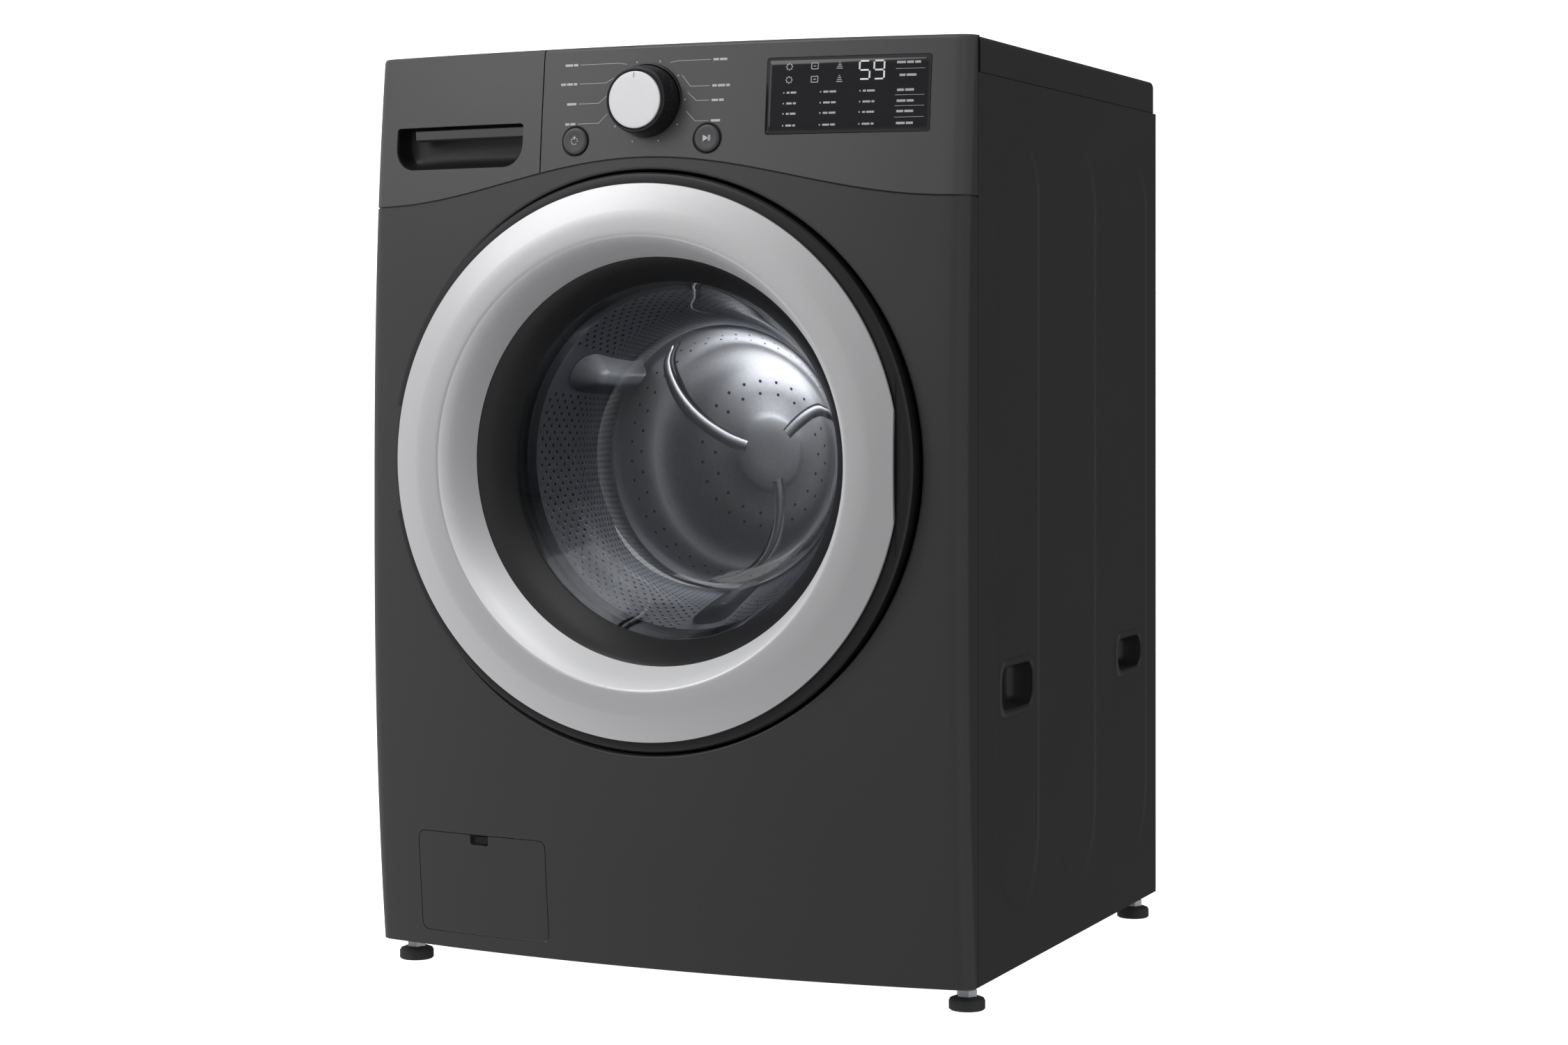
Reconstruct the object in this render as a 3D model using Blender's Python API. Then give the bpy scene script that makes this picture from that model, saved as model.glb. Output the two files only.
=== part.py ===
"""Front load washing machine: cabinet, door, detergent drawer, controls, tub, drum and feet.

Metres, +Z up. The origin is on the floor under the middle of the machine, and the front faces -Y.
"""

import math

import bmesh
import bpy

# Cabinet
WIDTH = 0.686
HEIGHT = 0.983
HALF_WIDTH = WIDTH / 2
BOTTOM = 0.0276
REAR_Y = 0.320
SEAM_Y = -0.2804
SKIRT_Z = 0.946
TOP_FRONT_Y = -0.2735
GRIPS = (((-0.210, -0.115), (0.296, 0.341)), ((0.175, 0.261), (0.301, 0.337)))
REAR_HOLES = ((-0.270, 0.900, 0.0132), (-0.200, 0.900, 0.0132), (0.270, 0.860, 0.0150), (-0.275, 0.820, 0.0099))
SHEET = 0.0015
MOULDED = 0.0025
GAP = 0.0003
SEAM_GAP = 0.001

# Pillow shaped front face: how far it bulges across its width and up its height
FRONT_BASE = 0.3017
PLAN_BULGE = 0.0276
PLAN_REACH = 0.320
RISE_BULGE = 0.023
RISE_MIDDLE = 0.505
RISE_REACH = 0.478
RISE_POWER = 2.4
CORNER_R = 0.0190
CORNER_STEPS = 4

# Seam between the front panel and the controls: a low hump over the door
SEAM_LOW_Z = 0.8215
SEAM_HUMP = 0.0445
HUMP_REACH = 0.330

# Door
DOOR_Z = 0.551
OPENING_R = 0.3014
DISH_FLOOR_Y = -0.262
DISH_LIP_R = 0.212
HINGE_X = -0.290
HINGE_Y = -0.338
HINGE_PIN_R = 0.0022
KNUCKLE_R = 0.004
GRIP_HALF_HEIGHT = 0.100

# Drawer
SPLIT_X = -0.1235
TRAY_X = (-0.318, -0.137)
TRAY_Z = (0.862, 0.932)
TRAY_REAR_Y = -0.045

# Controls
KNOB_Z = 0.9227
KNOB_R = 0.038
KNOB_FACE_R = 0.029
KNOB_FACE_Y = -0.3648
BUTTON_R = 0.0145
POWER_AT = (-0.082, 0.884)
START_AT = (0.070, 0.883)
WINDOW_X = (0.133, 0.304)
WINDOW_Z = (0.885, 0.963)

# Service cover
COVER_X = (-0.281, -0.119)
COVER_Z = (0.045, 0.152)
FILTER_AT = (-0.200, 0.100)

# Tub and drum
TUB_R = 0.292
TUB_WALL = 0.004
DRUM_R = 0.2695
DRUM_FRONT_Y = -0.212
DRUM_REAR_Y = 0.170
LIFTERS = 3

# Feet
FOOT_X = 0.322
FOOT_FRONT_Y = -0.256
FOOT_REAR_Y = 0.297
PAD_R = 0.0185

COLOURS = {
    "graphite_paint": ((0.052, 0.052, 0.055), 0.38, 0.35),
    "graphite_plastic": ((0.066, 0.066, 0.069), 0.36, 0.30),
    "silver_trim": ((0.62, 0.62, 0.63), 0.28, 0.90),
    "gloss_black": ((0.008, 0.008, 0.009), 0.08, 0.0),
    "matt_black": ((0.015, 0.015, 0.016), 0.45, 0.0),
    "button_grey": ((0.045, 0.045, 0.047), 0.40, 0.10),
    "bowl_glass": ((0.55, 0.58, 0.60), 0.04, 0.0),
    "grey_rubber": ((0.060, 0.062, 0.066), 0.60, 0.0),
    "pad_rubber": ((0.020, 0.020, 0.021), 0.70, 0.0),
    "bright_steel": ((0.70, 0.70, 0.71), 0.22, 1.0),
    "zinc_steel": ((0.55, 0.56, 0.57), 0.40, 1.0),
    "cast_alloy": ((0.50, 0.51, 0.52), 0.50, 0.9),
    "tub_plastic": ((0.42, 0.43, 0.44), 0.55, 0.0),
    "white_plastic": ((0.75, 0.76, 0.77), 0.45, 0.0),
    "green_board": ((0.02, 0.16, 0.07), 0.50, 0.0),
    "concrete": ((0.36, 0.35, 0.33), 0.90, 0.0),
}


def material(name):
    made = bpy.data.materials.get(name)
    if made is None:
        colour, roughness, metallic = COLOURS[name]
        made = bpy.data.materials.new(name)
        made.use_nodes = True
        shader = made.node_tree.nodes["Principled BSDF"]
        shader.inputs["Base Color"].default_value = (*colour, 1.0)
        shader.inputs["Roughness"].default_value = roughness
        shader.inputs["Metallic"].default_value = metallic
    return made


def place(name, bm, finish, origin=(0.0, 0.0, 0.0)):
    """Turns world-space geometry into a named object whose origin is where it turns or slides from."""
    bmesh.ops.recalc_face_normals(bm, faces=bm.faces)
    bmesh.ops.translate(bm, verts=bm.verts, vec=[-value for value in origin])
    mesh = bpy.data.meshes.new(name)
    bm.to_mesh(mesh)
    bm.free()
    mesh.shade_smooth()
    mesh.set_sharp_from_angle(angle=math.radians(35))
    mesh.materials.append(material(finish))
    made = bpy.data.objects.new(name, mesh)
    made.location = origin
    bpy.context.scene.collection.objects.link(made)
    return made


def tool(target, operation, bm):
    """Cuts, joins or trims a piece with a helper shape that is not itself a piece."""
    count = len(target.modifiers) + 1
    helper = place(f"{target.name}_{operation.lower()}_{count}", bm, "matt_black")
    helper.hide_render = True
    helper.display_type = "WIRE"
    step = target.modifiers.new(f"{operation.title()} {count}", "BOOLEAN")
    step.operation = operation
    step.solver = "EXACT"
    step.object = helper
    return target


def cut(target, bm):
    return tool(target, "DIFFERENCE", bm)


def add(target, bm):
    return tool(target, "UNION", bm)


def trim(target, bm):
    return tool(target, "INTERSECT", bm)


def block(x, y, z):
    """A box between two values on each axis."""
    bm = bmesh.new()
    outline = ((x[0], y[0]), (x[1], y[0]), (x[1], y[1]), (x[0], y[1]))
    corners = [[bm.verts.new((a, b, c)) for a, b in outline] for c in z]
    close_stack(bm, corners)
    return bm


def close_stack(bm, rings):
    """Skins a stack of equal rings and closes both ends."""
    for low, high in zip(rings, rings[1:]):
        for i in range(len(low)):
            j = (i + 1) % len(low)
            bm.faces.new((low[i], low[j], high[j], high[i]))
    bm.faces.new(rings[0])
    bm.faces.new(rings[-1])


def prism(outline, along, span):
    """An outline of two values carried along X, Y or Z."""
    bm = bmesh.new()
    spots = {"X": lambda u, v, w: (w, u, v), "Y": lambda u, v, w: (u, w, v), "Z": lambda u, v, w: (u, v, w)}
    rings = [[bm.verts.new(spots[along](u, v, w)) for u, v in outline] for w in span]
    close_stack(bm, rings)
    return bm


def rounded(u, v, radius, steps=3):
    """A rectangle between two values each way, with round corners."""
    points = []
    corners = ((u[1], v[1], 0), (u[0], v[1], 1), (u[0], v[0], 2), (u[1], v[0], 3))
    for corner_u, corner_v, quarter in corners:
        middle_u = corner_u + (radius if corner_u == u[0] else -radius)
        middle_v = corner_v + (radius if corner_v == v[0] else -radius)
        for step in range(steps + 1):
            angle = math.pi / 2 * (quarter + step / steps)
            points.append((middle_u + radius * math.cos(angle), middle_v + radius * math.sin(angle)))
    return points


def turned(profile, centre, axis="Y", segments=48, start=0.0, sweep=math.tau):
    """Turns a closed profile of (radius, along) round an axis. A point at radius 0 stays single."""
    bm = bmesh.new()
    whole = abs(sweep - math.tau) < 1e-9
    rings = []
    for step in range(segments if whole else segments + 1):
        angle = start + sweep * step / segments
        rings.append((math.cos(angle), math.sin(angle)))
    columns = []
    for radius, along in profile:
        column = []
        for cosine, sine in rings:
            if radius == 0.0 and column:
                column.append(column[0])
                continue
            u, v = radius * cosine, radius * sine
            if axis == "Y":
                depth = along(centre[0] + u, centre[2] + v) if callable(along) else along
                spot = (centre[0] + u, depth, centre[2] + v)
            else:
                spot = (centre[0] + u, centre[1] + v, along)
            column.append(bm.verts.new(spot))
        columns.append(column)
    count = len(rings)
    for one, two in zip(columns, columns[1:] + columns[:1]):
        for i in range(count if whole else count - 1):
            j = (i + 1) % count
            corners = [one[i], one[j], two[j], two[i]]
            single = list(dict.fromkeys(corners))
            if len(single) > 2:
                bm.faces.new(single)
    if not whole:
        bm.faces.new([column[0] for column in columns])
        bm.faces.new([column[-1] for column in columns])
    return bm


def disc(radius, span, centre, axis="Y", segments=32):
    """A plain round bar between two values along its axis."""
    return turned([(0.0, span[0]), (radius, span[0]), (radius, span[1]), (0.0, span[1])], centre, axis, segments)


def front_y(x, z):
    """The outer skin of the front at one place."""
    across = PLAN_BULGE * (1 - (x / PLAN_REACH) ** 2)
    rise = RISE_BULGE * (1 - abs((z - RISE_MIDDLE) / RISE_REACH) ** RISE_POWER)
    return -(FRONT_BASE + across + rise)


def seam_z(x):
    """Height of the seam between the front panel and the controls."""
    reach = min(abs(x) / HUMP_REACH, 1.0)
    return SEAM_LOW_Z + SEAM_HUMP * 0.5 * (1 + math.cos(math.pi * reach))


def corner_plan(z, inset, side):
    """Plan points round a vertical corner, from the front face back to the side seam."""
    lean = math.atan(2 * PLAN_BULGE * HALF_WIDTH / PLAN_REACH**2)
    middle_x = HALF_WIDTH - CORNER_R
    touch_x = middle_x + CORNER_R * math.sin(lean)
    middle_y = front_y(touch_x, z) + CORNER_R * math.cos(lean)
    radius = CORNER_R - inset
    points = []
    for step in range(CORNER_STEPS + 1):
        angle = lean + (math.pi / 2 - lean) * step / CORNER_STEPS
        points.append((side * (middle_x + radius * math.sin(angle)), middle_y - radius * math.cos(angle)))
    points.append((side * (HALF_WIDTH - inset), SEAM_Y))
    return points


def plan(z, inset, left, right, steps):
    """Plan line of the front face. With no left or right limit it goes round that corner."""
    lean = math.atan(2 * PLAN_BULGE * HALF_WIDTH / PLAN_REACH**2)
    edge = HALF_WIDTH - CORNER_R + CORNER_R * math.sin(lean)
    from_x = -edge if left is None else left
    to_x = edge if right is None else right
    first = 1 if left is None else 0
    last = steps - 1 if right is None else steps
    points = corner_plan(z, inset, -1)[::-1] if left is None else []
    for step in range(first, last + 1):
        x = from_x + (to_x - from_x) * step / steps
        points.append((x, front_y(x, z) + inset))
    return points + (corner_plan(z, inset, 1) if right is None else [])


def skin(thick, low, high, left=None, right=None, steps=16, rows=10, lift=0.0):
    """A closed skin of the front face between two heights, given as functions of x."""
    bm = bmesh.new()
    across = [point[0] for point in plan(RISE_MIDDLE, 0.0, left, right, steps)]
    sides = []
    for inset in (-lift, thick - lift):
        side = []
        for row in range(rows + 1):
            line = []
            for i, x in enumerate(across):
                z = low(x) + (high(x) - low(x)) * row / rows
                spot = plan(z, inset, left, right, steps)[i]
                line.append(bm.verts.new((*spot, z)))
            side.append(line)
        sides.append(side)
    last = len(across) - 1
    for side in sides:
        for under, over in zip(side, side[1:]):
            for i in range(last):
                bm.faces.new((under[i], under[i + 1], over[i + 1], over[i]))
    outer, inner = sides
    for row in (0, rows):
        for i in range(last):
            bm.faces.new((outer[row][i], outer[row][i + 1], inner[row][i + 1], inner[row][i]))
    for i in (0, last):
        for row in range(rows):
            bm.faces.new((outer[row][i], outer[row + 1][i], inner[row + 1][i], inner[row][i]))
    return bm


def cabinet():
    """Side panels, top, rear, base and the pressed front."""
    for name, side in (("side_panel_left", -1), ("side_panel_right", 1)):
        outer, inner, fold = side * HALF_WIDTH, side * (HALF_WIDTH - SHEET), side * (HALF_WIDTH - 0.018)
        outline = [(outer, SEAM_Y + GAP), (outer, REAR_Y), (fold, REAR_Y), (fold, REAR_Y - SHEET)]
        outline += [(inner, REAR_Y - SHEET), (inner, SEAM_Y + GAP)]
        panel = place(name, prism(outline, "Z", (BOTTOM, SKIRT_Z - GAP)), "graphite_paint")
        for middle_y in (-0.1565, 0.0330, 0.2220):
            y = (middle_y - 0.060, middle_y + 0.060)
            stamped = rounded(y, (0.085, 0.886), 0.055)
            cut(panel, prism(stamped, "X", sorted((outer - side * 0.0006, outer + side * 0.01))))
        for y, z in GRIPS:
            wall = prism(rounded((y[0] - 0.005, y[1] + 0.005), (z[0] - 0.005, z[1] + 0.005), 0.018), "X",
                         sorted((side * (HALF_WIDTH - 0.0008), side * (HALF_WIDTH - 0.032))))
            add(panel, wall)
            cut(panel, prism(rounded(y, z, 0.014), "X", sorted((side * (HALF_WIDTH - 0.030), side * 0.36))))

    top = place("top_cover", block((-HALF_WIDTH, HALF_WIDTH), (TOP_FRONT_Y, REAR_Y), (SKIRT_Z, HEIGHT)),
                "graphite_paint")
    cut(top, block((-HALF_WIDTH + 0.003, HALF_WIDTH - 0.003), (TOP_FRONT_Y - 0.01, REAR_Y - 0.003),
                   (SKIRT_Z - 0.01, HEIGHT - 0.003)))

    rear = place("rear_panel", block((-0.3405, 0.3405), (REAR_Y - 0.0034, REAR_Y - 0.0019), (0.064, 0.9425)),
                 "graphite_paint")
    cut(rear, disc(0.190, (REAR_Y - 0.02, REAR_Y + 0.02), (0, 0, DOOR_Z)))
    for x, z, radius in REAR_HOLES:
        cut(rear, disc(radius, (REAR_Y - 0.02, REAR_Y + 0.02), (x, 0, z), segments=20))

    face = REAR_Y - 0.0016
    dome = [(0.0, REAR_Y + 0.030), (0.120, REAR_Y + 0.028), (0.165, REAR_Y + 0.012), (0.190, face + 0.0015)]
    dome += [(0.215, face + 0.0015), (0.215, face), (0.188, face), (0.163, REAR_Y + 0.0095)]
    dome += [(0.119, REAR_Y + 0.0255), (0.0, REAR_Y + 0.0275)]
    place("rear_cover", turned(dome, (0, 0, DOOR_Z), segments=24), "graphite_paint")

    base = place("base_frame", block((-0.3405, 0.3405), (-0.278, 0.316), (BOTTOM + GAP, 0.0580)), "zinc_steel")
    cut(base, block((-0.298, 0.298), (-0.236, 0.274), (0.0, 0.10)))
    for x in (-1, 1):
        cut(base, block(sorted((x * 0.3385, x * 0.300)), (-0.276, 0.314), (BOTTOM + 0.0025, 0.10)))
    for y in ((-0.276, -0.238), (0.276, 0.314)):
        cut(base, block((-0.310, 0.310), y, (BOTTOM + 0.0025, 0.10)))
    for x in (-1, 1):
        for y in (FOOT_FRONT_Y, FOOT_REAR_Y):
            cut(base, disc(0.0057, (0.0, 0.05), (x * FOOT_X, y, 0), "Z", 16))
        add(base, block(sorted((x * 0.172, x * 0.208)), (0.000, 0.036), (BOTTOM + 0.0010, 0.034)))
    cross = block((-0.299, 0.299), (-0.002, 0.038), (BOTTOM + 0.0008, 0.0310))
    add(base, cross)

    place("top_brace", block((-0.3402, 0.3402), (0.015, 0.045), (0.9395, 0.9445)), "zinc_steel")


def pressed_front():
    """The front panel with its round door opening, the dish behind the door and the service hatch."""
    panel = place("front_panel", skin(SHEET, lambda x: BOTTOM, lambda x: seam_z(x) - SEAM_GAP, steps=12, rows=7),
                  "graphite_paint")
    cut(panel, disc(OPENING_R + 0.0012, (-0.45, -0.20), (0, 0, DOOR_Z), segments=40))
    wall = OPENING_R + 0.0030
    dish = [(OPENING_R, lambda x, z: front_y(x, z) + 0.0005), (OPENING_R, DISH_FLOOR_Y)]
    dish += [(DISH_LIP_R + 0.004, DISH_FLOOR_Y), (DISH_LIP_R, DISH_FLOOR_Y + 0.004)]
    dish += [(DISH_LIP_R, DISH_FLOOR_Y + 0.010), (DISH_LIP_R + 0.0016, DISH_FLOOR_Y + 0.010)]
    dish += [(DISH_LIP_R + 0.0052, DISH_FLOOR_Y + 0.0016), (wall, DISH_FLOOR_Y + 0.0016)]
    dish += [(wall, lambda x, z: front_y(x, z) + 0.0009)]
    add(panel, turned(dish, (0, 0, DOOR_Z), segments=40))
    x = (COVER_X[0] - SEAM_GAP, COVER_X[1] + SEAM_GAP)
    z = (COVER_Z[0] - SEAM_GAP, COVER_Z[1] + SEAM_GAP)
    cut(panel, prism(rounded(x, z, 0.009), "Y", (-0.40, -0.29)))

    low_y = front_y(COVER_X[0], COVER_Z[0]), front_y(COVER_X[1], COVER_Z[0])
    back = low_y[1] - low_y[0]
    cover = place("service_cover", skin(0.002, lambda x: COVER_Z[0] - 0.01, lambda x: COVER_Z[1] + 0.01,
                                        COVER_X[0] - 0.01, COVER_X[1] + 0.01, 8, 6), "graphite_paint",
                  ((COVER_X[0] + COVER_X[1]) / 2, low_y[0] + back / 2 - 0.002, COVER_Z[0] + 0.0005))
    trim(cover, prism(rounded(COVER_X, COVER_Z, 0.008), "Y", (-0.40, -0.29)))
    cut(cover, prism(rounded((-0.213, -0.190), (0.1415, 0.160), 0.003), "Y", (-0.40, -0.29)))


def controls():
    """Control fascia, its window, buttons, knob and boards."""
    fascia = place("control_panel", skin(MOULDED, seam_z, lambda x: HEIGHT - 0.0005, SPLIT_X, None, 10, 6),
                   "graphite_plastic")
    add(fascia, top_strip(SPLIT_X, None, 10))
    cut(fascia, prism(rounded((WINDOW_X[0] - GAP, WINDOW_X[1] + GAP), (WINDOW_Z[0] - GAP, WINDOW_Z[1] + GAP), 0.003),
                      "Y", (-0.45, -0.27)))
    cut(fascia, disc(0.012, (-0.45, -0.27), (0, 0, KNOB_Z), segments=24))
    for x, z in (POWER_AT, START_AT):
        cut(fascia, disc(BUTTON_R + 0.0012, (-0.45, -0.27), (x, 0, z), segments=20))

    window = place("display_window", skin(0.0022, lambda x: WINDOW_Z[0] - 0.01, lambda x: WINDOW_Z[1] + 0.01,
                                          WINDOW_X[0] - 0.01, WINDOW_X[1] + 0.01, 8, 3), "gloss_black")
    trim(window, prism(rounded(WINDOW_X, WINDOW_Z, 0.0027), "Y", (-0.45, -0.27)))

    board = place("display_board", block((-0.105, 0.312), (-0.2980, -0.2940), (0.874, 0.966)), "green_board")
    cut(board, disc(0.0045, (-0.31, -0.28), (0, 0, KNOB_Z), segments=16))

    base_y = front_y(0, KNOB_Z - KNOB_R) - 0.0010
    skirt = [(0.0, KNOB_FACE_Y + 0.0060), (KNOB_FACE_R + 0.0008, KNOB_FACE_Y + 0.0060)]
    skirt += [(KNOB_FACE_R + 0.0008, KNOB_FACE_Y + 0.0020), (KNOB_FACE_R + 0.0030, KNOB_FACE_Y + 0.0010)]
    skirt += [(KNOB_R - 0.0040, KNOB_FACE_Y + 0.0130), (KNOB_R, base_y - 0.0012), (KNOB_R, base_y)]
    skirt += [(0.0040, base_y), (0.0040, -0.2990), (0.0, -0.2990)]
    place("knob_skirt", turned(skirt, (0, 0, KNOB_Z), segments=20), "gloss_black", (0, KNOB_FACE_Y, KNOB_Z))
    cap = [(0.0, KNOB_FACE_Y), (KNOB_FACE_R - 0.0012, KNOB_FACE_Y), (KNOB_FACE_R, KNOB_FACE_Y + 0.0012)]
    cap += [(KNOB_FACE_R, KNOB_FACE_Y + 0.0057), (0.0, KNOB_FACE_Y + 0.0057)]
    cap = place("knob_cap", turned(cap, (0, 0, KNOB_Z), segments=24), "silver_trim", (0, KNOB_FACE_Y, KNOB_Z))
    cut(cap, block((-0.0008, 0.0008), (-0.40, KNOB_FACE_Y + 0.0008), (KNOB_Z + 0.018, KNOB_Z + 0.027)))

    for name, (x, z) in (("power_button", POWER_AT), ("start_button", START_AT)):
        face = front_y(x, z) - 0.0028
        button = [(0.0, face), (0.008, face + 0.0004), (0.0128, face + 0.0014), (BUTTON_R, face + 0.0030)]
        button += [(BUTTON_R, face + 0.0115), (0.0, face + 0.0115)]
        place(name, turned(button, (x, 0, z), segments=20), "button_grey", (x, face, z))

    place("main_board_case", block((0.110, 0.320), (-0.225, -0.060), (0.866, 0.930)), "white_plastic")


def top_strip(left, right, steps):
    """The flat strip along the top of the controls, back to the top cover."""
    edge = plan(HEIGHT, 0.0012, left, right, steps)
    back_y = TOP_FRONT_Y - 0.0006
    edge = [point for point in edge if point[1] < SEAM_Y - 0.0005]
    start_x = -HALF_WIDTH + 0.0012 if left is None else left + 0.0001
    end_x = HALF_WIDTH - 0.0012 if right is None else right - 0.0001
    if left is not None:
        edge[0] = (start_x, edge[0][1])
    if right is not None:
        edge[-1] = (end_x, edge[-1][1])
    edge = [(start_x, back_y)] + edge + [(end_x, back_y)]
    return prism(edge, "Z", (HEIGHT - 0.0030, HEIGHT - 0.0002))


def drawer():
    """Detergent drawer: its front, the tray behind it and the housing that it slides in."""
    right = SPLIT_X - SEAM_GAP
    front = place("drawer_front", skin(MOULDED, seam_z, lambda x: HEIGHT - 0.0005, None, right, 8, 6),
                  "graphite_plastic")
    add(front, top_strip(None, right, 8))
    x, z = (-0.313, -0.147), (0.8595, 0.9054)
    add(front, prism(rounded((x[0] - 0.002, x[1] + 0.002), (z[0] - 0.002, z[1] + 0.002), 0.012), "Y",
                     (-0.3125, -0.2880)))
    cut(front, prism(rounded(x, z, 0.010), "Y", (-0.45, -0.2900)))

    tray = place("drawer_tray", block(TRAY_X, (-0.2870, TRAY_REAR_Y), TRAY_Z), "white_plastic")
    for x in ((TRAY_X[0] + 0.002, -0.2290), (-0.2270, TRAY_X[1] - 0.002)):
        cut(tray, block(x, (-0.2850, TRAY_REAR_Y - 0.002), (TRAY_Z[0] + 0.002, 0.95)))

    housing = place("dispenser_housing", block((TRAY_X[0] - 0.006, TRAY_X[1] + 0.006), (-0.2600, TRAY_REAR_Y + 0.012),
                                               (TRAY_Z[0] - 0.008, TRAY_Z[1] + 0.005)), "tub_plastic")
    cut(housing, block((TRAY_X[0] - 0.002, TRAY_X[1] + 0.002), (-0.30, TRAY_REAR_Y + 0.008),
                       (TRAY_Z[0] - 0.003, TRAY_Z[1] + 0.002)))


def door():
    """Door ring, carrier, bowl, back frame, hinge and latch hook, all placed about the hinge axis."""
    hinge = (HINGE_X, HINGE_Y, DOOR_Z)
    centre = (0, 0, DOOR_Z)
    ring = [(0.2873, -0.3539), (0.2600, -0.3625), (0.2320, -0.3637), (0.2235, -0.3460), (0.2120, -0.3150)]
    ring += [(0.2145, -0.3150), (0.2258, -0.3450), (0.2338, -0.3610), (0.2600, -0.3600), (0.2865, -0.3505)]
    ring = place("door_ring", turned(ring, centre, segments=40), "silver_trim", hinge)
    cut(ring, grip_notch())

    carrier = [(0.2985, -0.3440), (0.2965, -0.3470), (0.2340, -0.3478), (0.2180, -0.3130), (0.2130, -0.3143)]
    carrier += [(0.1865, -0.2750), (0.1890, -0.2742), (0.2170, -0.3095), (0.2340, -0.3450), (0.2955, -0.3450)]
    carrier += [(0.2955, -0.3003), (0.2985, -0.3003)]
    carrier = place("door_frame", turned(carrier, centre, segments=40), "matt_black", hinge)
    cut(carrier, block((-0.32, -0.2855), (-0.40, -0.25), (DOOR_Z - 0.056, DOOR_Z + 0.056)))

    glass = [(0.1990, -0.2737), (0.1880, -0.2737), (0.1760, -0.2350), (0.1540, -0.1720), (0.1400, -0.1560)]
    glass += [(0.1000, -0.1500), (0.0, -0.1475), (0.0, -0.1425), (0.1000, -0.1450), (0.1430, -0.1510)]
    glass += [(0.1590, -0.1690), (0.1810, -0.2340), (0.1900, -0.2687), (0.1990, -0.2687)]
    place("door_glass", turned(glass, centre, segments=28), "bowl_glass", hinge)

    back = [(0.2985, -0.3000), (0.2985, -0.2990), (0.2890, -0.2725), (0.2060, -0.2725), (0.2060, -0.2665)]
    back += [(0.1960, -0.2665), (0.1960, -0.2684), (0.1995, -0.2684), (0.1995, -0.2755), (0.2880, -0.2755)]
    back += [(0.2950, -0.3000)]
    back = place("door_back_frame", turned(back, centre, segments=28), "matt_black", hinge)
    cut(back, block((-0.32, -0.2700), (-0.40, -0.25), (DOOR_Z - 0.056, DOOR_Z + 0.056)))
    cut(back, block((0.2560, 0.2760), (-0.40, -0.25), (DOOR_Z - 0.014, DOOR_Z + 0.014)))

    wing = place("door_hinge_arm", block((-0.2845, -0.2400), (-0.3440, -0.3410), (DOOR_Z - 0.050, DOOR_Z + 0.050)),
                 "zinc_steel", hinge)
    for z in ((DOOR_Z - 0.050, DOOR_Z - 0.0355), (DOOR_Z + 0.0355, DOOR_Z + 0.050)):
        add(wing, disc(KNUCKLE_R, z, (HINGE_X, HINGE_Y, 0), "Z", 12))
        add(wing, block((HINGE_X, -0.2840), (-0.3415, -0.3375), (z[0] + 0.0002, z[1] - 0.0002)))
    for z in ((DOOR_Z - 0.052, DOOR_Z - 0.034), (DOOR_Z + 0.034, DOOR_Z + 0.052)):
        cut(wing, disc(HINGE_PIN_R + GAP, z, (HINGE_X, HINGE_Y, 0), "Z", 12))
    place("door_hinge_pin", disc(HINGE_PIN_R, (DOOR_Z - 0.0505, DOOR_Z + 0.0505), (HINGE_X, HINGE_Y, 0), "Z", 12),
          "bright_steel", hinge)
    bracket = place("door_hinge_bracket", block((-0.2965, -0.2885), (-0.3370, DISH_FLOOR_Y - GAP),
                                                (DOOR_Z - 0.035, DOOR_Z + 0.035)), "zinc_steel", hinge)
    add(bracket, disc(KNUCKLE_R, (DOOR_Z - 0.0351, DOOR_Z + 0.0351), (HINGE_X, HINGE_Y, 0), "Z", 12))
    cut(bracket, disc(HINGE_PIN_R + GAP, (DOOR_Z - 0.06, DOOR_Z + 0.06), (HINGE_X, HINGE_Y, 0), "Z", 12))

    hook = [(0.2590, -0.2900), (0.2730, -0.2900), (0.2730, -0.2790), (0.2650, -0.2790), (0.2650, -0.2560)]
    hook += [(0.2720, -0.2500), (0.2670, -0.2440), (0.2600, -0.2480), (0.2590, -0.2600)]
    hook = place("door_latch_hook", prism(hook, "Z", (DOOR_Z - 0.006, DOOR_Z + 0.006)), "zinc_steel",
                 (0.2660, -0.2845, DOOR_Z))
    lock = place("door_lock", block((0.2440, 0.2900), (DISH_FLOOR_Y + 0.0019, -0.2370), (DOOR_Z - 0.035, DOOR_Z + 0.035)),
                 "white_plastic")
    cut(lock, block((0.2550, 0.2810), (-0.28, -0.2400), (DOOR_Z - 0.009, DOOR_Z + 0.009)))
    panel = bpy.data.objects["front_panel"]
    cut(panel, block((0.2540, 0.2820), (-0.28, -0.25), (DOOR_Z - 0.010, DOOR_Z + 0.010)))


def grip_notch():
    """The long shallow finger grip cut in the right edge of the silver ring."""
    bend, edge = 0.625, 0.2775
    steps = 8
    outline = []
    for step in range(steps + 1):
        z = GRIP_HALF_HEIGHT * (2 * step / steps - 1)
        outline.append((edge - bend + math.sqrt(bend**2 - z**2), DOOR_Z + z))
    outline += [(0.320, DOOR_Z + GRIP_HALF_HEIGHT), (0.320, DOOR_Z - GRIP_HALF_HEIGHT)]
    return prism(outline, "Y", (-0.40, -0.3482))


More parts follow.
